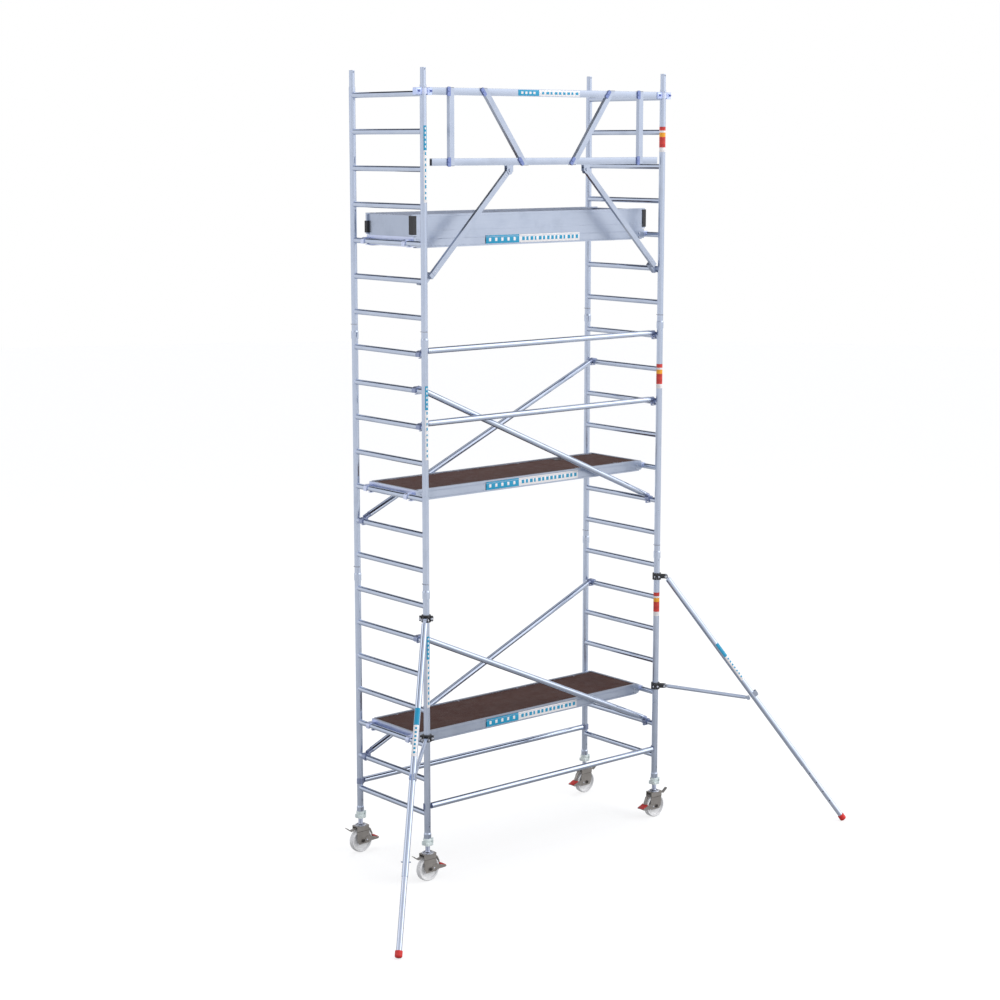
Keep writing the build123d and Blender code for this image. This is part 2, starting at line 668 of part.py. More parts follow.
def foot():
    body = Pos(0, 0, outrigger_length - foot_length / 2) * Cylinder(foot_radius, foot_length)
    body = fillet(body.edges().sort_by(Axis.Z)[-1], foot_edge)
    socket = outer_bore - running
    body -= Pos(0, 0, outrigger_length - 15 - foot_length / 2) * Cylinder(socket, foot_length)
    return [along_tube * body]


def outrigger_pin():
    """The sprung pin that holds the inner tube, through the wall of the outer tube."""
    place = along_tube * Pos(0, 0, pin_distance) * Rot(90, 0, 0)
    pieces = []
    for side in (-1, 1):
        head = place * Pos(0, 0, side * (outer_radius + 6)) * Cylinder(5, 14)
        pieces.append(head - along_tube * Pos(0, 0, pin_distance) * Cylinder(outer_radius, 60))
    return pieces


outrigger_pieces = {
    "outrigger_clamps": clamp(upper_clamp_z) + clamp(lower_clamp_z),
    "outrigger_tube": outer_tube() + outrigger_pin(),
    "outrigger_arm": arm(),
    "outrigger_extension": inner_tube(),
    "outrigger_foot": foot(),
}
for end, x_side, turn in (("left", -1, 180 + outrigger_turn), ("right", 1, -outrigger_turn)):
    place = Pos(x_side * half_length, -half_width, 0) * Rot(0, 0, turn)
    for piece, shapes in outrigger_pieces.items():
        add(f"{piece}_{end}", *[place * shape for shape in shapes])


# The origin is on the floor under the middle of the whole bounding box

boxes = [solid.bounding_box() for solids in nodes.values() for solid in solids]
middle_x = (min(box.min.X for box in boxes) + max(box.max.X for box in boxes)) / 2
middle_y = (min(box.min.Y for box in boxes) + max(box.max.Y for box in boxes)) / 2
shift = Pos(-middle_x, -middle_y, 0)

os.makedirs("parts", exist_ok=True)
for name, solids in nodes.items():
    export_step(Compound(children=[shift * solid for solid in solids]), f"parts/{name}.step")
print("nodes", len(nodes), "shift", round(-middle_x, 4), round(-middle_y, 4))
print("lowest point", round(min(box.min.Z for box in boxes), 4))
print("height", round(max(box.max.Z for box in boxes), 2))
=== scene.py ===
import math

import bpy
import bmesh
import numpy as np
from mathutils import Matrix, Vector


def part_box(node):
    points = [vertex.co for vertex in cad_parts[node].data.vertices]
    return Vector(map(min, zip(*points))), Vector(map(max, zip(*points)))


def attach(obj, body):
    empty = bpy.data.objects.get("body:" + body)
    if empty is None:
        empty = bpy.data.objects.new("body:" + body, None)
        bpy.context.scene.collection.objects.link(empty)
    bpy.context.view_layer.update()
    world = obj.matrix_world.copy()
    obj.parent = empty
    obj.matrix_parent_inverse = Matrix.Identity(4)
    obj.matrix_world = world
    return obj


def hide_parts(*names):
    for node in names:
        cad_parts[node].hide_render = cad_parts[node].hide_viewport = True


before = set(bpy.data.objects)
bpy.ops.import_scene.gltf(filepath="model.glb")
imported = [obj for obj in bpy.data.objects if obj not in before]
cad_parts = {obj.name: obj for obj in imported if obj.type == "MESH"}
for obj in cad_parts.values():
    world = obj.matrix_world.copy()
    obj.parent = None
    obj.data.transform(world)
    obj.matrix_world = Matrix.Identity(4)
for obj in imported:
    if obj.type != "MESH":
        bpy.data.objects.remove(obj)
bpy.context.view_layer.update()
print("tower loaded:", len(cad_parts), "parts")

# main lines of the tower, read from its own parts
tower = {
    "rungPitch": 0.280,
    "lowestRung": 0.550,
    "frameHeight": 1.960,
    "legRadius": 0.0254,
    "collarRadius": 0.0292,
    "rungRadius": 0.022,
    "platformRungs": {"lower": 3, "middle": 10, "upper": 17},
}
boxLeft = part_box("ladder_frame_lower_left")
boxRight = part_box("ladder_frame_lower_right")
legX = {"left": (boxLeft[0].x + boxLeft[1].x) / 2, "right": (boxRight[0].x + boxRight[1].x) / 2}
legY = {"front": boxLeft[0].y + tower["collarRadius"], "rear": boxLeft[1].y - tower["collarRadius"]}
midY = (legY["front"] + legY["rear"]) / 2
corners = [f"{a}_{b}" for a in ("front", "rear") for b in ("left", "right")]


def rungZ(number):
    return tower["lowestRung"] + (number - 1) * tower["rungPitch"]


# numpy shapes: every block is (points, faces)

def gridFaces(rows, cols, closeRows=False, closeCols=False):
    # quads between neighbouring rows and columns of a rows x cols grid of points
    r = np.arange(rows if closeRows else rows - 1)
    c = np.arange(cols if closeCols else cols - 1)
    r, c = [a.ravel() for a in np.meshgrid(r, c, indexing="ij")]
    r2, c2 = (r + 1) % rows, (c + 1) % cols
    return np.stack([r * cols + c, r * cols + c2, r2 * cols + c2, r2 * cols + c], axis=1)


def gridBlock(points, closeRows=False, closeCols=False):
    rows, cols = points.shape[:2]
    return points.reshape(-1, 3), gridFaces(rows, cols, closeRows, closeCols).tolist()


def turnedBlock(profile, segments=32):
    # profile (radius, height) turned about z: (r cos a, r sin a, h)
    p = np.asarray(profile, float)
    a = np.linspace(0, 2 * np.pi, segments, endpoint=False)
    points = np.stack([p[:, :1] * np.cos(a), p[:, :1] * np.sin(a), np.repeat(p[:, 1:], segments, 1)], axis=2)
    return gridBlock(points, closeCols=True)


def softProfile(profile, radius, steps=3):
    # rounds each inner corner of a (radius, height) line with a short quadratic curve
    p = np.asarray(profile, float)
    out = [p[0]]
    for before, corner, after in zip(p[:-2], p[1:-1], p[2:]):
        a, b = before - corner, after - corner
        la, lb = np.hypot(*a), np.hypot(*b)
        cut = min(radius, 0.45 * la, 0.45 * lb)
        s, e = corner + a / la * cut, corner + b / lb * cut
        t = np.linspace(0, 1, steps + 1)[:, None]
        out.extend(s * (1 - t) ** 2 + 2 * corner * t * (1 - t) + e * t ** 2)
    out.append(p[-1])
    return np.array(out)


def plateBlock(outline, thickness, chamfer=0.0006):
    # outline (x, y) raised along z, with a small chamfer made by drawing both end rings towards the middle
    o = np.asarray(outline, float)
    middle = o.mean(0)
    span = np.abs(o - middle).max()
    small = middle + (o - middle) * (1 - chamfer / span)
    rings = [(small, 0), (o, chamfer), (o, thickness - chamfer), (small, thickness)]
    points = np.stack([np.c_[ring, np.full(len(o), h)] for ring, h in rings])
    verts, faces = gridBlock(points, closeCols=True)
    n = len(o)
    faces.append(list(range(n))[::-1])
    faces.append(list(range(3 * n, 4 * n)))
    return verts, faces


def roundedRect(width, height, radius, steps=3):
    # corner arcs of a rectangle centred on zero
    out = []
    for k, (sx, sy) in enumerate(((1, 1), (-1, 1), (-1, -1), (1, -1))):
        a = np.linspace(k * np.pi / 2, (k + 1) * np.pi / 2, steps + 1)
        centre = np.array([sx * (width / 2 - radius), sy * (height / 2 - radius)])
        out.append(centre + radius * np.stack([np.cos(a), np.sin(a)], 1))
    return np.concatenate(out)


def barBlock(x, y, z, radius=0.001):
    # a bar between two values of x, y and z, its long edges rounded
    size = [b - a for a, b in (x, y, z)]
    longest = int(np.argmax(size))
    u, v = [i for i in range(3) if i != longest]
    radius = min(radius, size[u] * 0.45, size[v] * 0.45)
    verts, faces = plateBlock(roundedRect(size[u], size[v], radius), size[longest], min(radius, 0.001))
    out = np.zeros_like(verts)
    spans = (x, y, z)
    out[:, u] = verts[:, 0] + sum(spans[u]) / 2
    out[:, v] = verts[:, 1] + sum(spans[v]) / 2
    out[:, longest] = verts[:, 2] + spans[longest][0]
    return out, faces


def place(origin=(0, 0, 0), zAxis=(0, 0, 1), xAxis=None):
    # matrix that sets a block's z along zAxis, and its x as near xAxis as it can
    z = Vector(zAxis).normalized()
    x = Vector(xAxis) if xAxis is not None else Vector((1, 0, 0) if abs(z.x) < 0.9 else (0, 1, 0))
    x = (x - z * x.dot(z)).normalized()
    y = z.cross(x)
    return np.array(Matrix(((x.x, y.x, z.x, origin[0]), (x.y, y.y, z.y, origin[1]),
                            (x.z, y.z, z.z, origin[2]), (0, 0, 0, 1))))


def moved(block, *matrices):
    # the same block once for every matrix
    verts, faces = block
    v = np.c_[verts, np.ones(len(verts))]
    allVerts = np.concatenate([(v @ np.asarray(m).T)[:, :3] for m in matrices])
    allFaces = [[i + k * len(verts) for i in f] for k in range(len(matrices)) for f in faces]
    return allVerts, allFaces


def joined(blocks):
    verts, faces, start = [], [], 0
    for v, f in blocks:
        verts.append(v)
        faces += [[i + start for i in face] for face in f]
        start += len(v)
    return np.concatenate(verts), faces


def meshObject(name, blocks):
    # one mesh object from its blocks, doubles merged, normals outwards
    verts, faces = joined(blocks)
    mesh = bpy.data.meshes.new(name)
    mesh.from_pydata(verts.tolist(), [], faces)
    work = bmesh.new()
    work.from_mesh(mesh)
    bmesh.ops.remove_doubles(work, verts=work.verts, dist=1e-6)
    bmesh.ops.dissolve_degenerate(work, dist=1e-7, edges=work.edges)
    bmesh.ops.recalc_face_normals(work, faces=work.faces)
    work.to_mesh(mesh)
    work.free()
    piece = bpy.data.objects.new(name, mesh)
    bpy.context.scene.collection.objects.link(piece)
    return piece


def makePiece(name, blocks, body, finish, sharpAngle=38, instead=None):
    # a piece on its body, smooth but for sharp edges; instead names the part it stands for
    piece = meshObject(name, blocks)
    piece.data.polygons.foreach_set("use_smooth", np.ones(len(piece.data.polygons), bool))
    piece.data.set_sharp_from_angle(angle=math.radians(sharpAngle))
    piece.data.materials.append(finishes[finish])
    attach(piece, body)
    if instead:
        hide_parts(instead)


# shader groups shared by the materials

def feed(tree, socket, value):
    # an output is linked to the socket, a number or colour becomes its own value
    if isinstance(value, bpy.types.NodeSocket):
        tree.links.new(value, socket)
    else:
        socket.default_value = value


def feedAll(tree, node, **values):
    # i0, i6 and so on stand for inputs by number, an underscore for a space
    for key, value in values.items():
        label = int(key[1:]) if key[0] == "i" and key[1:].isdigit() else key.replace("_", " ")
        feed(tree, node.inputs[label], value)


def addNode(tree, kind, settings=None, **values):
    node = tree.nodes.new("ShaderNode" + kind)
    for key, value in (settings or {}).items():
        setattr(node, key, value)
    feedAll(tree, node, **values)
    return node


def mathNode(tree, operation, a, b, clamp=False):
    return addNode(tree, "Math", {"operation": operation, "use_clamp": clamp}, i0=a, i1=b).outputs[0]


def rangeNode(tree, value, low, high, outLow=0.0, outHigh=1.0):
    return addNode(tree, "MapRange", Value=value, From_Min=low, From_Max=high,
                   To_Min=outLow, To_Max=outHigh).outputs["Result"]


def noiseNode(tree, vector, scale, detail=3.0, roughness=0.5):
    return addNode(tree, "TexNoise", Vector=vector, Scale=scale, Detail=detail, Roughness=roughness).outputs[0]


def mixColours(tree, factor, a, b):
    return addNode(tree, "Mix", {"data_type": "RGBA"}, i0=factor, i6=a, i7=b).outputs[2]


def newGroup(name, results, **given):
    # a vector and the given numbers go in, the named numbers come out
    group = bpy.data.node_groups.new(name, "ShaderNodeTree")
    group.interface.new_socket(name="Vector", in_out="INPUT", socket_type="NodeSocketVector")
    for label, value in given.items():
        label = label.replace("_", " ")
        socket = group.interface.new_socket(name=label, in_out="INPUT", socket_type="NodeSocketFloat")
        socket.default_value = value
    for label in results:
        group.interface.new_socket(name=label, in_out="OUTPUT", socket_type="NodeSocketFloat")
    return group, group.nodes.new("NodeGroupInput").outputs, group.nodes.new("NodeGroupOutput")


def drawnMetalGroup():
    # fine lines along local z left by the drawing die, over slow cloudy changes of the surface
    group, given, end = newGroup("drawnMetal", ("Tone", "Rough", "Height"), Line_Scale=900.0, Cloud_Scale=7.0)
    stretch = addNode(group, "Mapping", Vector=given["Vector"], Scale=(1, 1, 0.012))
    lines = noiseNode(group, stretch.outputs[0], given["Line Scale"], 2.0)
    clouds = noiseNode(group, given["Vector"], given["Cloud Scale"], 4.0, 0.6)
    mixed = mathNode(group, "ADD", mathNode(group, "MULTIPLY", lines, 0.45),
                     mathNode(group, "MULTIPLY", clouds, 0.55))
    feedAll(group, end, Tone=rangeNode(group, mixed, 0.3, 0.7), Rough=rangeNode(group, clouds, 0.3, 0.7),
            Height=lines)
    return group


def siteWearGroup():
    # scuffs: thin stretched scratches where two noises cross, and grey handling marks in patches
    group, given, end = newGroup("siteWear", ("Scratch", "Smudge"), Amount=0.5)
    vector, amount = given["Vector"], given["Amount"]
    turn = addNode(group, "Mapping", Vector=vector, Rotation=(0.6, 0.4, 0.9), Scale=(1, 0.06, 1))
    fine = noiseNode(group, turn.outputs[0], 260.0, 1.0)
    ridge = addNode(group, "Math", {"operation": "ABSOLUTE"}, i0=mathNode(group, "SUBTRACT", fine, 0.5))
    line = rangeNode(group, ridge.outputs[0], 0.006, 0.0)
    where = rangeNode(group, noiseNode(group, vector, 9.0), 0.55, 0.72)
    patch = rangeNode(group, noiseNode(group, vector, 3.2, 5.0, 0.65), 0.56, 0.8)
    scratch = mathNode(group, "MULTIPLY", line, where)
    feedAll(group, end, Scratch=mathNode(group, "MULTIPLY", scratch, amount, True),
            Smudge=mathNode(group, "MULTIPLY", patch, amount, True))
    return group


def settledDustGroup():
    # dust lies where the surface faces up, broken by noise
    group, given, end = newGroup("settledDust", ("Mask",), Amount=0.3)
    split = addNode(group, "SeparateXYZ", i0=addNode(group, "NewGeometry").outputs["Normal"])
    up = rangeNode(group, split.outputs["Z"], 0.35, 1.0)
    patch = rangeNode(group, noiseNode(group, given["Vector"], 11.0, 5.0, 0.7), 0.38, 0.75)
    settled = mathNode(group, "MULTIPLY", up, patch)
    feedAll(group, end, Mask=mathNode(group, "MULTIPLY", settled, given["Amount"], True))
    return group


def mouldedGrainGroup():
    # fine pebble of a moulded or cast skin, and slow tone changes
    group, given, end = newGroup("mouldedGrain", ("Tone", "Height"), Pebble_Scale=500.0)
    cells = addNode(group, "TexVoronoi", Vector=given["Vector"], Scale=given["Pebble Scale"])
    tone = noiseNode(group, given["Vector"], 16.0, 4.0, 0.6)
    feedAll(group, end, Tone=rangeNode(group, tone, 0.3, 0.7), Height=cells.outputs["Distance"])
    return group


drawnMetal, siteWear = drawnMetalGroup(), siteWearGroup()
settledDust, mouldedGrain = settledDustGroup(), mouldedGrainGroup()
dustColour = (0.62, 0.60, 0.56, 1)
alongZ, alongY, alongX = (0, 0, 0), (math.pi / 2, 0, 0), (0, math.pi / 2, 0)


def tint(colour, times=1.0, plus=0.0):
    # the colour scaled and lifted, never above white, with its alpha
    return tuple(min(1, c * times + plus) for c in colour) + (1,)


def startMaterial(name, turn=alongZ):
    material = bpy.data.materials.new(name)
    material.use_nodes = True
    tree = material.node_tree
    tree.nodes.clear()
    shader = addNode(tree, "BsdfPrincipled")
    addNode(tree, "OutputMaterial", Surface=shader.outputs[0])
    where = addNode(tree, "TexCoord").outputs["Object"]
    return material, tree, shader, addNode(tree, "Mapping", Vector=where, Rotation=turn).outputs[0]


def placeGroup(tree, group, vector, **values):
    return addNode(tree, "Group", {"node_tree": group}, Vector=vector, **values).outputs


def bumped(tree, height, strength, distance):
    return addNode(tree, "Bump", Height=height, Strength=strength, Distance=distance).outputs[0]


def metalFinish(name, dark, light, rough, turn=alongZ, wear=0.5, dust=0.25, lines=900.0, bump=0.12,
                metallic=1.0):
    # drawn or rolled metal: tone between two colours, scratches brighter, dust duller and rougher
    material, tree, shader, vector = startMaterial(name, turn)
    metal = placeGroup(tree, drawnMetal, vector, Line_Scale=lines)
    marks = placeGroup(tree, siteWear, vector, Amount=wear)
    dusty = placeGroup(tree, settledDust, vector, Amount=dust)["Mask"]
    colour = mixColours(tree, metal["Tone"], tint(dark), tint(light))
    colour = mixColours(tree, marks["Smudge"], colour, tint(dark, 0.72))
    colour = mixColours(tree, marks["Scratch"], colour, tint(light, 1.25))
    roughness = rangeNode(tree, metal["Rough"], 0, 1, *rough)
    roughness = mathNode(tree, "ADD", roughness, mathNode(tree, "MULTIPLY", marks["Smudge"], 0.12))
    roughness = mathNode(tree, "ADD", roughness, mathNode(tree, "MULTIPLY", dusty, 0.4), True)
    feedAll(tree, shader, Base_Color=mixColours(tree, dusty, colour, dustColour), Roughness=roughness,
            Metallic=metallic, Normal=bumped(tree, metal["Height"], bump, 0.0004))
    return material


def mouldedFinish(name, dark, light, rough, wear=0.3, dust=0.3, pebble=500.0, bump=0.25, depth=0.0):
    # plastic, rubber, paint or casting skin; depth lets some light into clear plastic
    material, tree, shader, vector = startMaterial(name)
    grain = placeGroup(tree, mouldedGrain, vector, Pebble_Scale=pebble)
    marks = placeGroup(tree, siteWear, vector, Amount=wear)
    dusty = placeGroup(tree, settledDust, vector, Amount=dust)["Mask"]
    colour = mixColours(tree, grain["Tone"], tint(dark), tint(light))
    colour = mixColours(tree, marks["Smudge"], colour, tint(dark, 0.6, 0.04))
    colour = mixColours(tree, marks["Scratch"], colour, tint(light, 0.6, 0.38))
    roughness = rangeNode(tree, grain["Tone"], 0, 1, *rough)
    roughness = mathNode(tree, "ADD", roughness, mathNode(tree, "MULTIPLY", dusty, 0.3), True)
    feedAll(tree, shader, Base_Color=mixColours(tree, dusty, colour, dustColour), Roughness=roughness,
            Normal=bumped(tree, grain["Height"], bump, 0.0003))
    if depth:
        feedAll(tree, shader, Subsurface_Weight=depth, Subsurface_Radius=(0.01, 0.01, 0.01))
    return material


def deckFinish(name, dark, light):
    # resin-filmed plywood: a raised anti-slip lattice of small cells, worn paler where people step
    material, tree, shader, vector = startMaterial(name)
    lattice = addNode(tree, "TexVoronoi", {"feature": "DISTANCE_TO_EDGE"}, Vector=vector, Scale=190.0,
                      Randomness=0.12)
    rib = rangeNode(tree, lattice.outputs["Distance"], 0.03, 0.14, 1.0, 0.0)
    marks = placeGroup(tree, siteWear, vector, Amount=0.22)
    dusty = placeGroup(tree, settledDust, vector, Amount=0.03)["Mask"]
    grain = placeGroup(tree, mouldedGrain, vector, Pebble_Scale=700.0)["Tone"]
    colour = mixColours(tree, grain, tint(dark), tint(light))
    colour = mixColours(tree, mathNode(tree, "MULTIPLY", rib, 0.2), colour, tint(light, 1.3))
    colour = mixColours(tree, marks["Smudge"], colour, (0.14, 0.08, 0.065, 1))
    feedAll(tree, shader, Base_Color=mixColours(tree, dusty, colour, dustColour), Specular_IOR_Level=0.12,
            Roughness=rangeNode(tree, grain, 0, 1, 0.55, 0.72), Normal=bumped(tree, rib, 0.5, 0.0006))
    return material


def decalFinish(name, field, mark, pitch=0.05):
    # printed film: even bands of two near colours along z
    material, tree, shader, vector = startMaterial(name)
    height = addNode(tree, "SeparateXYZ", i0=vector).outputs["Z"]
    cycle = addNode(tree, "Math", {"operation": "FRACT"}, i0=mathNode(tree, "DIVIDE", height, pitch))
    marks = placeGroup(tree, siteWear, vector, Amount=0.6)
    grain = placeGroup(tree, mouldedGrain, vector, Pebble_Scale=900.0)
    colour = mixColours(tree, mathNode(tree, "LESS_THAN", cycle.outputs[0], 0.5), tint(field), tint(mark))
    colour = mixColours(tree, marks["Smudge"], colour, tint(field, 0.7, 0.1))
    colour = mixColours(tree, marks["Scratch"], colour, (0.62, 0.65, 0.72, 1))
    feedAll(tree, shader, Base_Color=colour, Roughness=rangeNode(tree, grain["Tone"], 0, 1, 0.32, 0.48),
            Normal=bumped(tree, grain["Height"], 0.08, 0.0002))
    return material


# each finish: dark tone, light tone, least and most roughness, then what differs from the usual
alu = (0.49, 0.555, 0.69), (0.60, 0.66, 0.77)
rail = (0.42, 0.475, 0.58), (0.51, 0.56, 0.66)
metals = {
    "drawnLegTube": (*alu, (0.26, 0.40), {}),
    "drawnRungTube": (*alu, (0.03, 0.08), dict(turn=alongY, dust=0.08, bump=0.04)),
    "drawnBraceTube": (*alu, (0.06, 0.13), dict(turn=alongX, dust=0.1, bump=0.05)),
    "castClaw": ((0.24, 0.28, 0.42), (0.37, 0.42, 0.58), (0.3, 0.46), dict(bump=0.3, lines=240.0)),
    "millRail": (*rail, (0.28, 0.42), dict(turn=alongX, lines=600.0)),
    "lightClaw": ((0.58, 0.64, 0.84), (0.70, 0.75, 0.92), (0.3, 0.42), {}),
    "toeboardSheet": (*rail, (0.30, 0.44), dict(turn=alongX, lines=420.0)),
    "guardRailTube": (*rail, (0.28, 0.40), dict(turn=alongX, lines=600.0)),
    "saddleMetal": ((0.17, 0.22, 0.44), (0.27, 0.33, 0.58), (0.3, 0.42), {}),
    "saddleDark": ((0.10, 0.13, 0.36), (0.18, 0.22, 0.48), (0.3, 0.42), {}),
    "couplingSkin": ((0.50, 0.60, 0.92), (0.66, 0.74, 0.98), (0.26, 0.4), dict(bump=0.25, lines=240.0)),
    "spigotTube": (*alu, (0.28, 0.42), {}),
    "springWire": ((0.42, 0.43, 0.46), (0.6, 0.61, 0.66), (0.2, 0.3), dict(lines=1500.0)),
    "zincScrew": ((0.42, 0.46, 0.58), (0.58, 0.62, 0.74), (0.22, 0.36), dict(lines=500.0)),
    "pressedFork": ((0.33, 0.305, 0.28), (0.43, 0.405, 0.375), (0.34, 0.5),
                    dict(turn=alongX, wear=0.7, lines=300.0, bump=0.2, metallic=0.75)),
    "brightBolt": ((0.50, 0.52, 0.58), (0.72, 0.74, 0.80), (0.16, 0.28), dict(lines=1300.0)),
    "darkBolt": ((0.05, 0.045, 0.04), (0.10, 0.09, 0.085), (0.32, 0.45), dict(metallic=0.8)),
    "outriggerTube": (*alu, (0.03, 0.08), dict(lines=700.0, dust=0.1, bump=0.04)),
    "extensionTube": (alu[0], (0.66, 0.70, 0.80), (0.04, 0.10), dict(lines=700.0, dust=0.1, bump=0.04)),
}
mouldings = {
    "clearNylon": ((0.62, 0.70, 0.70), (0.78, 0.85, 0.83), (0.26, 0.4), dict(depth=0.3, wear=0.2)),
    "whiteNylon": ((0.74, 0.74, 0.74), (0.84, 0.84, 0.84), (0.3, 0.48),
                   dict(depth=0.15, pebble=300.0, wear=0.45)),
    "blackMoulding": ((0.012, 0.012, 0.014), (0.03, 0.03, 0.034), (0.42, 0.6), {}),
    "clampSkin": ((0.012, 0.012, 0.014), (0.035, 0.035, 0.04), (0.34, 0.52),
                  dict(pebble=260.0, bump=0.4, wear=0.6)),
    "redRubber": ((0.52, 0.012, 0.01), (0.68, 0.022, 0.018), (0.38, 0.55), dict(pebble=340.0)),
    "redTread": ((0.45, 0.012, 0.01), (0.62, 0.02, 0.016), (0.32, 0.5), dict(pebble=420.0)),
    "darkRed": ((0.10, 0.006, 0.006), (0.17, 0.01, 0.01), (0.4, 0.6), dict(pebble=420.0)),
    "blackRubber": ((0.015, 0.014, 0.014), (0.035, 0.033, 0.033), (0.6, 0.8), dict(pebble=240.0)),
}
printedFilms = {
    "blueFilm": ((0.004, 0.27, 0.46), (0.004, 0.27, 0.46)),
    "redFilm": ((0.58, 0.04, 0.03), (0.50, 0.03, 0.025)),
    "amberFilm": ((0.82, 0.36, 0.02), (0.78, 0.33, 0.02)),
    "paleFilm": ((0.78, 0.76, 0.76), (0.72, 0.70, 0.70)),
}
finishes = {"filmedDeck": deckFinish("filmedDeck", (0.050, 0.021, 0.016), (0.064, 0.028, 0.022))}
for make, table in ((metalFinish, metals), (mouldedFinish, mouldings)):
    finishes.update({name: make(name, *tones, **extras) for name, (*tones, extras) in table.items()})
finishes.update({name: decalFinish(name, *tones) for name, tones in printedFilms.items()})
print("finishes made:", len(finishes))


# materials on the parts that keep their own shape

def faceCentres(obj):
    count = len(obj.data.polygons)
    centres = np.zeros(count * 3)
    obj.data.polygons.foreach_get("center", centres)
    return centres.reshape(-1, 3)


def dress(node, names, choose=None):
    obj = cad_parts[node]
    obj.data.materials.clear()
    for name in names:
        obj.data.materials.append(finishes[name])
    index = np.zeros(len(obj.data.polygons), np.int32)
    if choose is not None:
        index = choose(faceCentres(obj)).astype(np.int32)
    obj.data.polygons.foreach_set("material_index", index)
    obj.data.update()


def beyond(inset):
    # 0 up to the inset from the legs' lines, 1 on the claws and catches past it
    return lambda centres: np.abs(centres[:, 0]) > abs(legX["left"]) - inset


def awayFromLegs(centres):
    # 0 on the legs, 1 on the rungs
    nearest = np.minimum(np.abs(centres[:, 1] - legY["front"]), np.abs(centres[:, 1] - legY["rear"]))
    return nearest > tower["legRadius"] * 0.98


dressing = {
    "diagonal": (("drawnBraceTube", "castClaw"), beyond(0.062)),
    "guard_tube": (("drawnBraceTube", "castClaw"), beyond(0.062)),
    "base_brace": (("drawnBraceTube", "castClaw"), beyond(0.058)),
    "ladder_frame": (("drawnLegTube", "drawnRungTube"), awayFromLegs),
    "platform_frame": (("millRail", "lightClaw"), beyond(0.037)),
    "guardrail_frame": (("guardRailTube", "lightClaw"), beyond(0.056)),
    "guardrail_strut": (("guardRailTube",),),
    "spigots": (("spigotTube",),),
    "locking_clips": (("springWire",),),
    "toeboards": (("toeboardSheet",),),
    "toeboard_brackets": (("blackMoulding",),),
    "deck": (("filmedDeck",),),
    "hatch": (("filmedDeck",),),
    "spindle": (("zincScrew",),),
    "nut": (("clearNylon",),),
    "fork": (("pressedFork",),),
    "wheel": (("whiteNylon",),),
    "brake": (("pressedFork",),),
    "outrigger_clamps": (("clampSkin",),),
    "outrigger_tube": (("outriggerTube",),),
    "outrigger_arm": (("outriggerTube",),),
    "outrigger_extension": (("extensionTube",),),
    "outrigger_foot": (("redRubber", "blackRubber"), lambda centres: centres[:, 2] < 0.005),
}
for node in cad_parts:
    dress(node, *dressing[max((k for k in dressing if node.startswith(k)), key=len)])
print("parts dressed")


# small shapes used in many places

def domeBlock(radius, height, segments=10):
    # rivet head: a low curve from the rim up to the middle, flat underneath
    line = [(0, 0), (radius, 0), (radius * 0.93, height * 0.5), (radius * 0.6, height * 0.88), (0, height)]
    return turnedBlock(line, segments)


def hexBlock(radius, thickness, chamfer=0.0012):
    a = np.arange(6) * np.pi / 3
    return plateBlock(np.stack([np.cos(a), np.sin(a)], 1) * radius, thickness, chamfer)


def ringBlock(profile, segments=48):
    # closed ring: the (radius, height) loop turned about z
    points = turnedBlock(profile, segments)[0].reshape(len(profile), segments, 3)
    return gridBlock(points, closeRows=True, closeCols=True)


def curvedPatch(radius, angles, heights, lift=0.0004, steps=12):
    # thin curved film: the (radius, height) rectangle carried round z between two angles
    a = np.radians(np.linspace(angles[0], angles[1], steps))[:, None]
    low, high = heights
    line = np.array([(radius, low), (radius + lift, low), (radius + lift, high), (radius, high)])
    points = np.stack([line[:, 0] * np.cos(a), line[:, 0] * np.sin(a), np.broadcast_to(line[:, 1], (steps, 4))], 2)
    verts, faces = gridBlock(points, closeCols=True)
    n = 4 * (steps - 1)
    return verts, faces + [[3, 2, 1, 0], [n, n + 1, n + 2, n + 3]]


def shiftTo(x, y, z):
    return place((x, y, z))


def rivetAt(radius, height, at, facing=(0, 0, 1), segments=10):
    return moved(domeBlock(radius, height, segments), place(at, facing))


# weld beads where the rungs meet the legs
weld = {"bead": 0.0022, "ripple": 0.14, "ripples": 14, "points": 28}


def weldBlock():
    # angle a round the rung: x = r sin a, z = r cos a, y = sqrt(R^2 - x^2), a rippled round bead on that line
    a = np.linspace(0, 2 * np.pi, weld["points"], endpoint=False)
    r, big = tower["rungRadius"], tower["legRadius"]
    out = np.stack([np.sin(a), 0 * a, np.cos(a)], 1)
    line = out * r
    line[:, 1] = np.sqrt(big * big - line[:, 0] ** 2)
    bead = weld["bead"] * (1 + weld["ripple"] * np.sin(a * weld["ripples"]))
    t = np.linspace(0, 2 * np.pi, 6, endpoint=False)
    ring = np.cos(t)[None, :, None] * out[:, None] + np.sin(t)[None, :, None] * np.array([0, 1.0, 0])
    return gridBlock(line[:, None] + bead[:, None, None] * ring, closeRows=True, closeCols=True)


spots = [place((legX[side], legY[end], rungZ(n)), xAxis=(1 if end == "front" else -1, 0, 0))
         for side in legX for end in legY for n in range(1, 22)]
makePiece("rungWelds", [moved(weldBlock(), *spots)], "tower", "lightClaw")

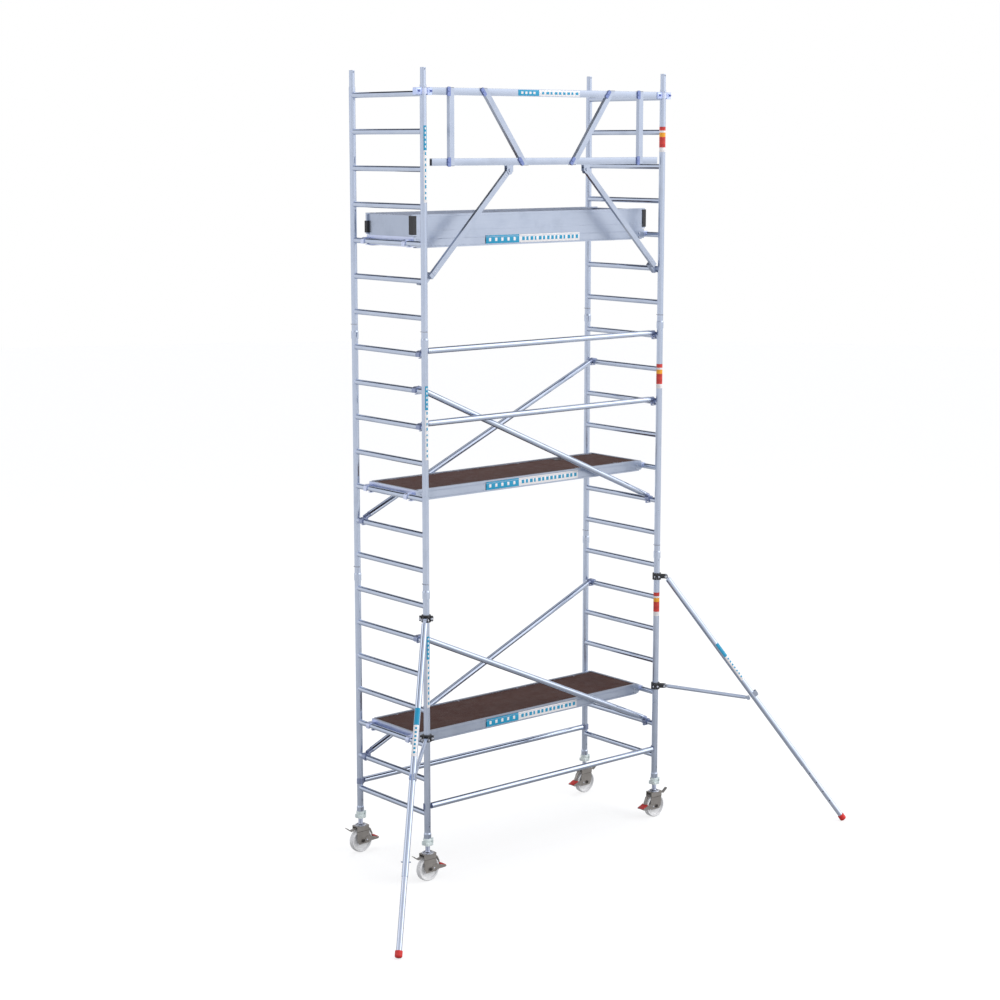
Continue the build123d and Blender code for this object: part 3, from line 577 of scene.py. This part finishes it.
# printed films: plain fields with short plain bars
films = {"lift": 0.0004, "blue": (1.810, 1.994), "white": (1.423, 1.810), "bands": (1.790, 1.995),
         "shares": (("whiteBand", "paleFilm", 0.18), ("redBand", "redFilm", 0.42),
                    ("amberBand", "amberFilm", 0.17), ("paleBand", "paleFilm", 0.08), ("topBand", "redFilm", 0.15)),
         "rail": ((-0.505, -0.162), (-0.162, 0.483)), "top": ((-0.328, -0.113), (-0.113, 0.313)),
         "marks": (0.022, 0.016, 0.026, 0.02, 0.014, 0.024, 0.02, 0.018, 0.022)}
levels = [k * tower["frameHeight"] for k in range(3)]
leftLeg = [shiftTo(legX["left"], legY["front"], z) for z in levels]
rightLeg = [shiftTo(legX["right"], legY["front"], z) for z in levels]
filmRadius = tower["legRadius"] + 0.0001
for name, span, film in (("Blue", films["blue"], "blueFilm"), ("White", films["white"], "paleFilm")):
    makePiece(f"legFilms{name}", [moved(curvedPatch(filmRadius, (-125, -55), span), *leftLeg)], "tower", film)
overFilm = filmRadius + films["lift"]
marks = [curvedPatch(overFilm, (-104, -76), (z, z + length), 0.0002, 5)
         for z, length in zip(np.linspace(1.445, 1.775, 9), films["marks"])]
pale = [curvedPatch(overFilm, (-102, -78), (z, z + 0.016), 0.0002, 5) for z in np.linspace(1.83, 1.965, 5)]
makePiece("legFilmPaleBars", [moved(joined(pale), *leftLeg)], "tower", "paleFilm")
makePiece("legFilmBars", [moved(joined(marks), *leftLeg)], "tower", "blueFilm")
low, high = films["bands"]
for name, film, share in films["shares"]:
    top = low + share * (high - films["bands"][0])
    makePiece(name, [moved(curvedPatch(filmRadius, (-230, -50), (low, top), steps=20), *rightLeg)], "tower",
              film)
    low = top
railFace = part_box("platform_frame_lower")[0].y
guardFace = legY["front"] - 0.0145
blueBars, whiteBars, markBars, paleBars = [], [], [], []
lift = films["lift"]
railSpots = [(rungZ(n) + 0.0065, 0.033, railFace, *films["rail"]) for n in tower["platformRungs"].values()]
for z, half, face, blueSpan, whiteSpan in railSpots + [(6.168, 0.0225, guardFace - lift, *films["top"])]:
    blueBars.append(barBlock(blueSpan, (face - lift, face), (z - half, z + half), 0.0001))
    whiteBars.append(barBlock(whiteSpan, (face - lift, face), (z - half, z + half), 0.0001))
    for x in np.linspace(blueSpan[0] + 0.03, blueSpan[1] - 0.06, 5 if half > 0.03 else 4):
        high = (z - half * 0.4, z + half * 0.4)
        paleBars.append(barBlock((x, x + 0.022), (face - 2 * lift, face - lift), high, 0.0001))
    for x in np.arange(whiteSpan[0] + 0.03, whiteSpan[1] - 0.04, 0.044):
        size = 0.018 + 0.012 * abs(math.sin(x * 41))
        high = (z - half * 0.45, z + half * 0.45)
        markBars.append(barBlock((x, x + size), (face - 2 * lift, face - lift), high, 0.0001))
makePiece("railFilmsBlue", blueBars, "tower", "blueFilm")
makePiece("railFilmsWhite", whiteBars + paleBars, "tower", "paleFilm")
makePiece("railFilmBars", markBars, "tower", "blueFilm")

# outriggers, each in its own upright plane: r outwards from the leg, d down the tube from the upper pivot
outrigger = {"turn": {"left": math.radians(224.5), "right": math.radians(-44.5)}, "pivot": (0.078, 2.135),
             "down": (0.5930, -0.8052), "tubeRadius": 0.024,
             "blue": (0.729, 0.867), "white": (0.867, 1.117), "clampHeights": (2.135, 1.172)}


def outriggerPlace(end, d=0.0):
    # z along the tube, x square to it and upwards
    turn = outrigger["turn"][end]
    c, s = math.cos(turn), math.sin(turn)
    r = outrigger["pivot"][0] + outrigger["down"][0] * d
    z = outrigger["pivot"][1] + outrigger["down"][1] * d
    a, b = outrigger["down"]
    return place((legX[end] + r * c, legY["front"] + r * s, z), (a * c, a * s, b), (-b * c, -b * s, a))


def clampPlace(end, z, r, side, towards):
    # beside the leg: r outwards, side across, with the block's z along towards = (outwards, across)
    turn = outrigger["turn"][end]
    c, s = math.cos(turn), math.sin(turn)
    return place((legX[end] + r * c - side * s, legY["front"] + r * s + side * c, z),
                 (towards[0] * c - towards[1] * s, towards[0] * s + towards[1] * c, 0))


for end, angles in (("left", (-55, 55)), ("right", (-10, 95))):
    body = f"outrigger_{end}"
    tube = outriggerPlace(end)
    radius = outrigger["tubeRadius"] + 0.0001
    for name, span, film in (("Blue", outrigger["blue"], "blueFilm"), ("White", outrigger["white"], "paleFilm")):
        makePiece(f"tubeFilm{name}_{end}", [moved(curvedPatch(radius, angles, span), tube)], body, film)
    middle = sum(angles) / 2
    bars = [curvedPatch(radius + 0.0004, (middle - 20, middle + 20), (d, d + 0.016), 0.0002, 5)
            for d in np.arange(0.885, 1.10, 0.032)]
    makePiece(f"tubeFilmBars_{end}", [moved(joined(bars), tube)], body, "blueFilm")
    hardware = []
    for z in outrigger["clampHeights"]:
        for side in (-0.046, 0.046):
            hardware.append(moved(hexBlock(0.0108, 0.0112), clampPlace(end, z, 0.012, side, (1, 0))))
            hardware.append(moved(domeBlock(0.0048, 0.007, 16), clampPlace(end, z, 0.023, side, (1, 0))))
            hardware.append(moved(hexBlock(0.0108, 0.009), clampPlace(end, z, -0.012, side, (-1, 0))))
        for side in (-1, 1):
            for block, across in ((hexBlock(0.0118, 0.0075), 0.0222), (domeBlock(0.0058, 0.003, 16), 0.0296)):
                hardware.append(moved(block, clampPlace(end, z, 0.078, side * across, (0, side))))
    makePiece(f"clampBolts_{end}", hardware, body, "brightBolt")
print("films and outrigger details made")

# platforms: ribs, rivets, hatch latches
platform = {"halfLength": 1.19, "ribRise": 0.0287, "ribDepth": 0.0012, "deckTop": 0.043, "rivet": 0.0052,
            "deckEdge": 0.034, "hatchMiddle": 0.758,
            "cup": ((0, 0.0024), (0.017, 0.0024), (0.019, 0.004), (0.024, 0.004), (0.026, 0.0022),
                    (0, 0.0022))}
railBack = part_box("platform_frame_lower")[1].y
ribs, rivets, endRivets = [], [], []
for level, number in tower["platformRungs"].items():
    z = rungZ(number)
    span = (-platform["halfLength"], platform["halfLength"])
    for face, out in ((railFace, -1), (railBack, 1)):
        y = sorted((face, face + out * platform["ribDepth"]))
        for rise in (platform["ribRise"], -0.0255):
            ribs.append(barBlock(span, y, (z + rise - 0.0014, z + rise + 0.0014), 0.0005))
        for x in (-1.158, 1.158):
            for rise in (-0.02, 0.012):
                endRivets.append(rivetAt(0.0055, 0.003, (x, face, z + rise), (0, out, 0)))
        for x in (-0.975, -0.325, 0.325, 0.975 if level == "lower" else 1.125):
            at = (x, face - out * platform["deckEdge"], z + platform["deckTop"])
            rivets.append(rivetAt(platform["rivet"], 0.0018, at))
    for side in (-1, 1):
        for y in (railFace + 0.09, midY, railBack - 0.09):
            endRivets.append(rivetAt(0.005, 0.0025, (side * 1.2020, y, z + 0.047)))
makePiece("railRibs", ribs, "tower", "millRail")
makePiece("deckRivets", rivets, "tower", "brightBolt")
makePiece("railRivets", endRivets, "tower", "brightBolt")
(_, boardFace, boardLow), (_, boardBack, _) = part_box("toeboards_long")
lines = [barBlock((-1.19, 1.19), sorted((face, face + out * 0.0012)),
                  (boardLow + rise - 0.0015, boardLow + rise + 0.0015), 0.0005)
         for face, out in ((boardFace, -1), (boardBack, 1)) for rise in (0.0415, 0.150)]
makePiece("toeboardRibs", lines, "tower", "toeboardSheet")
for level in ("middle", "upper"):
    z = rungZ(tower["platformRungs"][level]) + platform["deckTop"]
    x, y = platform["hatchMiddle"], railBack - 0.085
    plate = moved(plateBlock(roundedRect(0.15, 0.062, 0.012), 0.0024), shiftTo(x, y, z))
    cup = moved(turnedBlock(softProfile(platform["cup"], 0.001), 28), shiftTo(x, y, z))
    makePiece(f"hatchLatch_{level}", [plate, cup], f"hatch_{level}", "blackMoulding")
    heads = [rivetAt(0.0045, 0.002, (x + dx, railFace + 0.026 + dy, z + 0.0025))
             for dx in (-0.236, -0.196, 0.196, 0.236) for dy in (0.02, 0.045)]
    heads += [rivetAt(0.004, 0.0015, (x + dx, y, z + 0.0024)) for dx in (-0.06, 0.06)]
    makePiece(f"hatchRivets_{level}", heads, f"hatch_{level}", "brightBolt")
print("platform details made")

# guardrail: softly rounded rail skins, saddles where posts and diagonals cross, black end caps
guard = {"low": 5.642, "top": 6.168, "height": 0.0556, "depth": 0.0296, "postX": 0.988, "slope": 0.7195}
skins, saddles, caps = [], [], []
for z, reach in ((guard["low"], 1.180), (guard["top"], 1.196)):
    outline = roundedRect(guard["depth"], guard["height"], 0.0045, 5)
    skins.append(moved(plateBlock(outline, 2 * reach), place((-reach, legY["front"], z), (1, 0, 0), (0, 1, 0))))
makePiece("guardRailSkins", skins, "tower", "guardRailTube", sharpAngle=25)
front = legY["front"]
for z in (guard["low"], guard["top"]):
    lean = 0.250 + guard["slope"] * (z - guard["low"] + 0.0275)
    for x, tilt in ((-guard["postX"], 0), (guard["postX"], 0), (-lean, -0.6237), (lean, 0.6237)):
        plate = plateBlock(roundedRect(0.030, 0.070, 0.008), 0.010)
        turned = place((x - 0.030, front - 0.0146, z), (0, -1, 0), (math.cos(tilt), 0, -math.sin(tilt)))
        saddles.append(moved(plate, turned))
        saddles.append(rivetAt(0.006, 0.004, (x - 0.034, front - 0.0246, z), (0, -1, 0), 14))
makePiece("railSaddles", saddles, "tower", "saddleMetal")
for z, out in ((guard["low"] - 0.0275, -1), (guard["top"] + 0.0275, 1)):
    lean = 0.250 if out < 0 else 0.668
    for x, half in ((-guard["postX"], 0.0225), (guard["postX"], 0.0225), (-lean, 0.0277), (lean, 0.0277)):
        caps.append(barBlock((x - half, x + half), (front - 0.017, front + 0.017),
                             sorted((z, z + out * 0.003)), 0.003))
for side in (-1, 1):
    caps.append(barBlock(sorted((side * 1.1802, side * 1.1850)), (front - 0.0075, front + 0.0075),
                         (guard["low"] - 0.022, guard["low"] + 0.022), 0.004))
couplings, keys = [], []
for side in ("left", "right"):
    x = legX[side]
    for out, reach in ((-1, 0.082), (1, 0.074)):
        for near, far, half, low, high, soft in ((0.0270, reach, 0.021, 0.029, 0.025, 0.007),
                                                 (0.040, reach - 0.012, 0.026, 0.014, 0.012, 0.006)):
            couplings.append(barBlock(sorted((x + out * near, x + out * far)), (front - half, front + half),
                                      (guard["top"] - low, guard["top"] + high), soft))
        spot = place((x + out * 0.056, front - 0.0255, guard["top"]), (0, -1, 0))
        keys.append(moved(hexBlock(0.0095, 0.007), spot))
makePiece("legCouplings", couplings, "tower", "couplingSkin")
makePiece("couplingBolts", keys, "tower", "saddleDark")
makePiece("railCaps", caps, "tower", "blackMoulding")
for end, side in (("left", -1), ("right", 1)):
    heads = [rivetAt(0.0055, 0.003, (side * x, front - 0.0045, z), (0, -1, 0))
             for x, z in ((0.437, 5.541), (0.452, 5.526), (1.125, 4.839), (1.146, 4.818))]
    makePiece(f"strutRivets_{end}", heads, f"guardrail_strut_{end}", "brightBolt")
print("guardrail details made")

# braces: two rivets through each end of every tube; each run has its y and its first and last rung
brace = {"inset": 0.014, "step": 0.024,
         "runs": ((-0.345, 6, 2), (0.365, 2, 6), (-0.345, 13, 9), (0.365, 9, 13), (-0.395, 14, 14),
                  (-0.395, 12, 12))}
heads = []
for y, first, last in brace["runs"]:
    ends = np.array([[legX["left"], rungZ(first) + 0.024], [legX["right"], rungZ(last) + 0.024]])
    run = (ends[1] - ends[0]) / np.linalg.norm(ends[1] - ends[0])
    for start, way in ((ends[0], run), (ends[1], -run)):
        for k in range(2):
            x, z = start + way * (0.066 + brace["inset"] + k * brace["step"])
            for out in (-1, 1):
                heads.append(rivetAt(0.0045, 0.0028, (x, midY + y + out * 0.0238, z), (0, out, 0)))
makePiece("braceRivets", heads, "tower", "brightBolt")

# castors, each drawn with its own x away from the release lever; z values are heights above the floor
castor = {"wheelRadius": 0.100, "screwRadius": 0.019, "threadPitch": 0.008, "threadDepth": 0.0016,
          "threadTop": 0.620, "threadLow": 0.248, "nutLow": 0.292, "lobe": 0.0135}

# brake rocker seen from its side: x along the castor, z up
pedal = {
    "lever": ((-0.150, 0.226), (-0.102, 0.190), (-0.086, 0.196), (-0.052, 0.205), (0.052, 0.205), (0.086, 0.180),
              (0.104, 0.142), (0.110, 0.142), (0.092, 0.184), (0.054, 0.211), (-0.054, 0.211), (-0.092, 0.203),
              (-0.104, 0.199), (-0.147, 0.231)),
    "arm": ((0.022, 0.086), (0.022, 0.120), (0.040, 0.129), (0.068, 0.128), (0.150, 0.1045), (0.160, 0.099),
            (0.161, 0.092), (0.152, 0.087), (0.060, 0.0845)),
}


def spindleBlock():
    # profile turned about z; over the thread the radius falls by depth * |2 frac(z / pitch - a / 2 pi) - 1|
    line = [(0, 0.217), (0.013, 0.217), (0.013, 0.2219), (0.008, 0.2220), (0.008, 0.2281), (0.029, 0.2281),
            (0.029, 0.2330), (0.0275, 0.2345), (0.0235, 0.2400), (0.0205, 0.2440), (0.019, 0.2455)]
    z = np.arange(castor["threadLow"], castor["threadTop"], 0.001)
    line = np.array(line + [(castor["screwRadius"], h) for h in z] + [(0.019, 0.633), (0.0175, 0.634), (0, 0.634)])
    a = np.linspace(0, 2 * np.pi, 32, endpoint=False)
    height = line[:, 1:]
    wave = np.abs(2 * np.mod(height / castor["threadPitch"] - a / (2 * np.pi), 1) - 1)
    threaded = (height >= castor["threadLow"]) & (height < castor["threadTop"])
    radius = line[:, :1] - castor["threadDepth"] * wave * threaded
    return gridBlock(np.stack([radius * np.cos(a), radius * np.sin(a), height + 0 * a], 2), closeCols=True)


def nutBlock():
    # outer radius R + lobe |cos 2a|^3 at four sides, lower near the top and bottom edges; a plain bore inside
    a = np.linspace(0, 2 * np.pi, 96, endpoint=False)
    rows = [(0.0, 0.0191, 0), (0.0, 0.031, 0.9), (0.0015, 0.0322, 1), (0.014, 0.0325, 1),
            (0.0265, 0.0325, 1), (0.0285, 0.0322, 0.9), (0.029, 0.0315, 0.02), (0.040, 0.0312, 0),
            (0.042, 0.0298, 0), (0.042, 0.0191, 0)]
    points = []
    for rise, radius, lobe in rows:
        r = radius + castor["lobe"] * lobe * np.abs(np.cos(2 * a)) ** 3
        points.append(np.stack([r * np.cos(a), r * np.sin(a), np.full_like(a, castor["nutLow"] + rise)], 1))
    return gridBlock(np.stack(points), closeRows=True, closeCols=True)


def wheelBlock():
    # rim, web and hub in one turned line, corners softened
    half, bore = 0.025, 0.01005
    side = [(bore, -0.027), (0.026, -0.027), (0.031, -0.022), (0.035, -0.011), (0.040, -0.0095), (0.074, -0.0095),
            (0.080, -0.013), (0.084, -0.022), (0.088, -half), (0.094, -half), (0.0985, -0.021), (0.100, -0.014)]
    line = softProfile(side + [(r, -h) for r, h in side[::-1]], 0.003, 3)
    verts, faces = turnedBlock(line, 96)
    count = len(line)
    faces += [[(count - 1) * 96 + j, (count - 1) * 96 + (j + 1) % 96, (j + 1) % 96, j] for j in range(96)]
    return verts, faces


for corner in corners:
    end, side = corner.split("_")
    turn = 1 if side == "left" else -1
    base = place((legX[side], legY[end], 0), xAxis=(turn, 0, 0))
    axle = place((legX[side], legY[end], castor["wheelRadius"]), (0, 1, 0))
    makePiece(f"threadedSpindle_{corner}", [moved(spindleBlock(), base)], f"spindle_{corner}", "zincScrew",
              50, f"spindle_{corner}")
    lug = barBlock((0.033, 0.0465), (-0.0135, 0.0135), (0.318, 0.351), 0.004)
    cup = ringBlock([(0.0296, 0.3335), (0.0365, 0.3335), (0.0360, 0.3380), (0.0320, 0.3500), (0.0296, 0.3510)], 64)
    swung = place((legX[side], legY[end], 0), xAxis=(0.766, -0.643, 0))
    makePiece(f"levellingNut_{corner}", [moved(joined([nutBlock(), lug, cup]), swung)], f"nut_{corner}",
              "clearNylon", 45, f"nut_{corner}")
    makePiece(f"nylonWheel_{corner}", [moved(wheelBlock(), axle)], f"wheel_{corner}", "whiteNylon",
              50, f"wheel_{corner}")
    race = ringBlock([(0.0300, 0.2282), (0.0465, 0.2282), (0.0475, 0.2300), (0.0455, 0.2325), (0.0400, 0.2335),
                      (0.0370, 0.2365), (0.0310, 0.2370), (0.0300, 0.2355)])
    # painted shadow: dark bars at the step below the fork's upper flange paint its shadow, and a dark ring on the
    # spindle's shoulder paints the shade in the gap above the swivel race
    gap = ringBlock([(0.0225, 0.2400), (0.0262, 0.2378), (0.0275, 0.2400), (0.0250, 0.2425)], 32)
    shade = [barBlock((-0.058, 0.060), sorted((s * 0.0318, s * 0.0362)), (0.1808, 0.1840), 0.0008)
             for s in (-1, 1)]
    nuts, rivets = [], []
    for s in (-1, 1):
        spot = place((legX[side], legY[end] + s * 0.032, castor["wheelRadius"]), (0, s, 0))
        nuts.append(moved(hexBlock(0.0153, 0.0088), spot))
        nuts.append(moved(domeBlock(0.0075, 0.0115, 20), spot))
        at = (legX[side] + turn * 0.040, legY[end] + s * 0.0355, 0.100)
        rivets.append(rivetAt(0.0072, 0.0038, at, (0, s, 0), 18))
    makePiece(f"swivelRace_{corner}", [moved(race, base)], f"fork_{corner}", "brightBolt")
    # one dark piece holds the painted shadow bars and the painted shade ring
    makePiece(f"forkPaintedShadow_{corner}", [moved(block, base) for block in shade + [gap]], f"fork_{corner}",
              "darkBolt")
    makePiece(f"axleNuts_{corner}", nuts, f"fork_{corner}", "darkBolt")
    across = place((legX[side], legY[end] + 0.014 * turn, 0), (0, -turn, 0), (turn, 0, 0))
    armAt = [place((legX[side], legY[end] + y * turn, 0), (0, -turn, 0), (turn, 0, 0))
             for y in (-0.0325, 0.0355)]
    blocks = [moved(plateBlock(pedal["lever"], 0.028, 0.001), across)]
    blocks.append(moved(plateBlock(pedal["arm"], 0.003, 0.0006), *armAt))
    blocks.append(moved(barBlock((0.1075, 0.1125), (-0.034, 0.034), (0.088, 0.118), 0.002), base))
    blocks.append(moved(barBlock((0.1000, 0.1125), (-0.013, 0.013), (0.112, 0.146), 0.003), base))
    makePiece(f"brakeRocker_{corner}", blocks, f"brake_{corner}", "pressedFork",
              instead=f"brake_{corner}")
    makePiece(f"brakeRivets_{corner}", rivets, f"brake_{corner}", "brightBolt")
    slope = place((legX[side] + turn * 0.104, legY[end], 0.127), (turn * 0.40, 0, 0.9165),
                  (turn * 0.9165, 0, -0.40))
    bars = [barBlock((0, 0.064), (-0.0318, 0.0318), (-0.0060, 0), 0.0015)]
    bars += [barBlock((x, x + 0.0045), (-0.031, 0.031), (-0.0004, 0.0022), 0.0012)
             for x in np.linspace(0.004, 0.054, 6)]
    makePiece(f"pedalTread_{corner}", [moved(block, slope) for block in bars], f"brake_{corner}",
              "redTread")
    nose = barBlock((0.0575, 0.0668), (-0.0345, 0.0345), (-0.0085, -0.0015), 0.003)
    makePiece(f"pedalNose_{corner}", [moved(nose, slope)], f"brake_{corner}", "darkRed")
print("castors made")

# floor, light and camera

studio = {
    "floorRadius": 45.0,
    "floorColour": (0.26, 0.26, 0.262, 1),
    "floorGlow": 0.76,
    "cameraPlace": (-11.0218, -12.4084, 5.7956),
    "cameraTilt": 9.7415,
    "cameraHeading": -40.037,
    "lens": 75.18,
    "sensor": 36.0,
}
# cards round the room: direction, half angles where the card is full and where it ends, brightness
roomCards = [
    ((0.63, -0.55, 0.42), 16, 30, 2.1),
    ((0.30, -0.90, 0.30), 8, 24, 1.5),
    ((-0.85, 0.30, 0.45), 10, 24, 1.3),
    ((0.62, 0.70, 0.36), 8, 17, 0.42),
    ((0.0, 0.77, 0.635), 17, 22, 0.0),
    ((-0.53, -0.03, 0.85), 8, 12, 0.03),
    ((-0.22, 0.96, 0.17), 5, 9, 0.05),
    ((-0.59, 0.58, 0.56), 6, 12, 1.6),
    ((-0.75, -0.55, 0.40), 8, 18, 0.35),
]


def buildFloor():
    # a flat disc: rings of points about z, closed at the middle
    rings = np.concatenate([[0.0], np.geomspace(1.0, studio["floorRadius"], 24)])
    verts, faces = turnedBlock([(r, 0.0) for r in rings], 96)
    floor = meshObject("studioFloor", [(verts - [0, 0, 0.0005], faces)])
    material, tree, shader, vector = startMaterial("paleFloor")
    # seen straight the floor glows evenly; what the tubes mirror is dimmer close to the tower
    reach = addNode(tree, "VectorMath", {"operation": "LENGTH"}, i0=vector)
    mirrored = rangeNode(tree, reach.outputs["Value"], 1.5, 11.0, 0.12, 0.62)
    seen = addNode(tree, "LightPath").outputs["Is Camera Ray"]
    glow = addNode(tree, "Mix", {"data_type": "FLOAT"}, i0=seen, i2=mirrored, i3=studio["floorGlow"])
    feedAll(tree, shader, Base_Color=studio["floorColour"], Roughness=0.9, Specular_IOR_Level=0.1,
            Emission_Color=(1, 1, 1, 1), Emission_Strength=glow.outputs[0])
    floor.data.materials.append(material)


def buildWorld():
    # white to the eye; what the metal mirrors is a bright room with a few bright and dark cards
    world = bpy.data.worlds.new("studioRoom")
    bpy.context.scene.world = world
    world.use_nodes = True
    tree = world.node_tree
    tree.nodes.clear()
    where = addNode(tree, "TexCoord").outputs["Generated"]
    split = addNode(tree, "SeparateXYZ", i0=where)
    room = addNode(tree, "ValToRGB", i0=rangeNode(tree, split.outputs["Z"], 0.0, 1.0))
    room.color_ramp.elements[0].color = (0.92, 0.93, 0.97, 1)
    room.color_ramp.elements[1].color = (0.74, 0.76, 0.82, 1)
    colour = room.outputs[0]
    for direction, inner, outer, bright in roomCards:
        towards = addNode(tree, "VectorMath", {"operation": "DOT_PRODUCT"}, i0=where,
                          i1=Vector(direction).normalized())
        ends, full = (math.cos(math.radians(angle)) for angle in (outer, inner))
        card = rangeNode(tree, towards.outputs["Value"], ends, full)
        colour = mixColours(tree, card, colour, (bright, bright, bright * 1.02, 1))
    seen = addNode(tree, "Background", Color=(1, 1, 1, 1), Strength=1.0)
    mirrored = addNode(tree, "Background", Color=colour, Strength=1.0)
    mix = addNode(tree, "MixShader", i0=addNode(tree, "LightPath").outputs["Is Camera Ray"],
                  i1=mirrored.outputs[0], i2=seen.outputs[0])
    addNode(tree, "OutputWorld", Surface=mix.outputs[0])


def areaLight(name, at, aim, size, power):
    data = bpy.data.lights.new(name, "AREA")
    data.shape = "RECTANGLE"
    data.size, data.size_y = size
    data.energy = power
    light = bpy.data.objects.new(name, data)
    light.location = at
    light.rotation_euler = (Vector(aim) - Vector(at)).to_track_quat("-Z", "Y").to_euler()
    light.visible_glossy = False
    bpy.context.scene.collection.objects.link(light)


def buildCamera():
    data = bpy.data.cameras.new("studioCamera")
    data.lens, data.sensor_width = studio["lens"], studio["sensor"]
    data.clip_end = 200.0
    camera = bpy.data.objects.new("studioCamera", data)
    camera.location = studio["cameraPlace"]
    camera.rotation_euler = (math.radians(90 - studio["cameraTilt"]), 0, math.radians(studio["cameraHeading"]))
    bpy.context.scene.collection.objects.link(camera)
    bpy.context.scene.camera = camera


buildFloor()
buildWorld()
buildCamera()
areaLight("frontBox", (7.0, -9.0, 7.5), (0, 0.4, 3.0), (6.0, 5.0), 420)
areaLight("overheadBox", (1.0, 1.5, 11.0), (0, 0.5, 0), (6.0, 6.0), 520)
bpy.context.scene.view_settings.view_transform = "Standard"
print("studio ready")
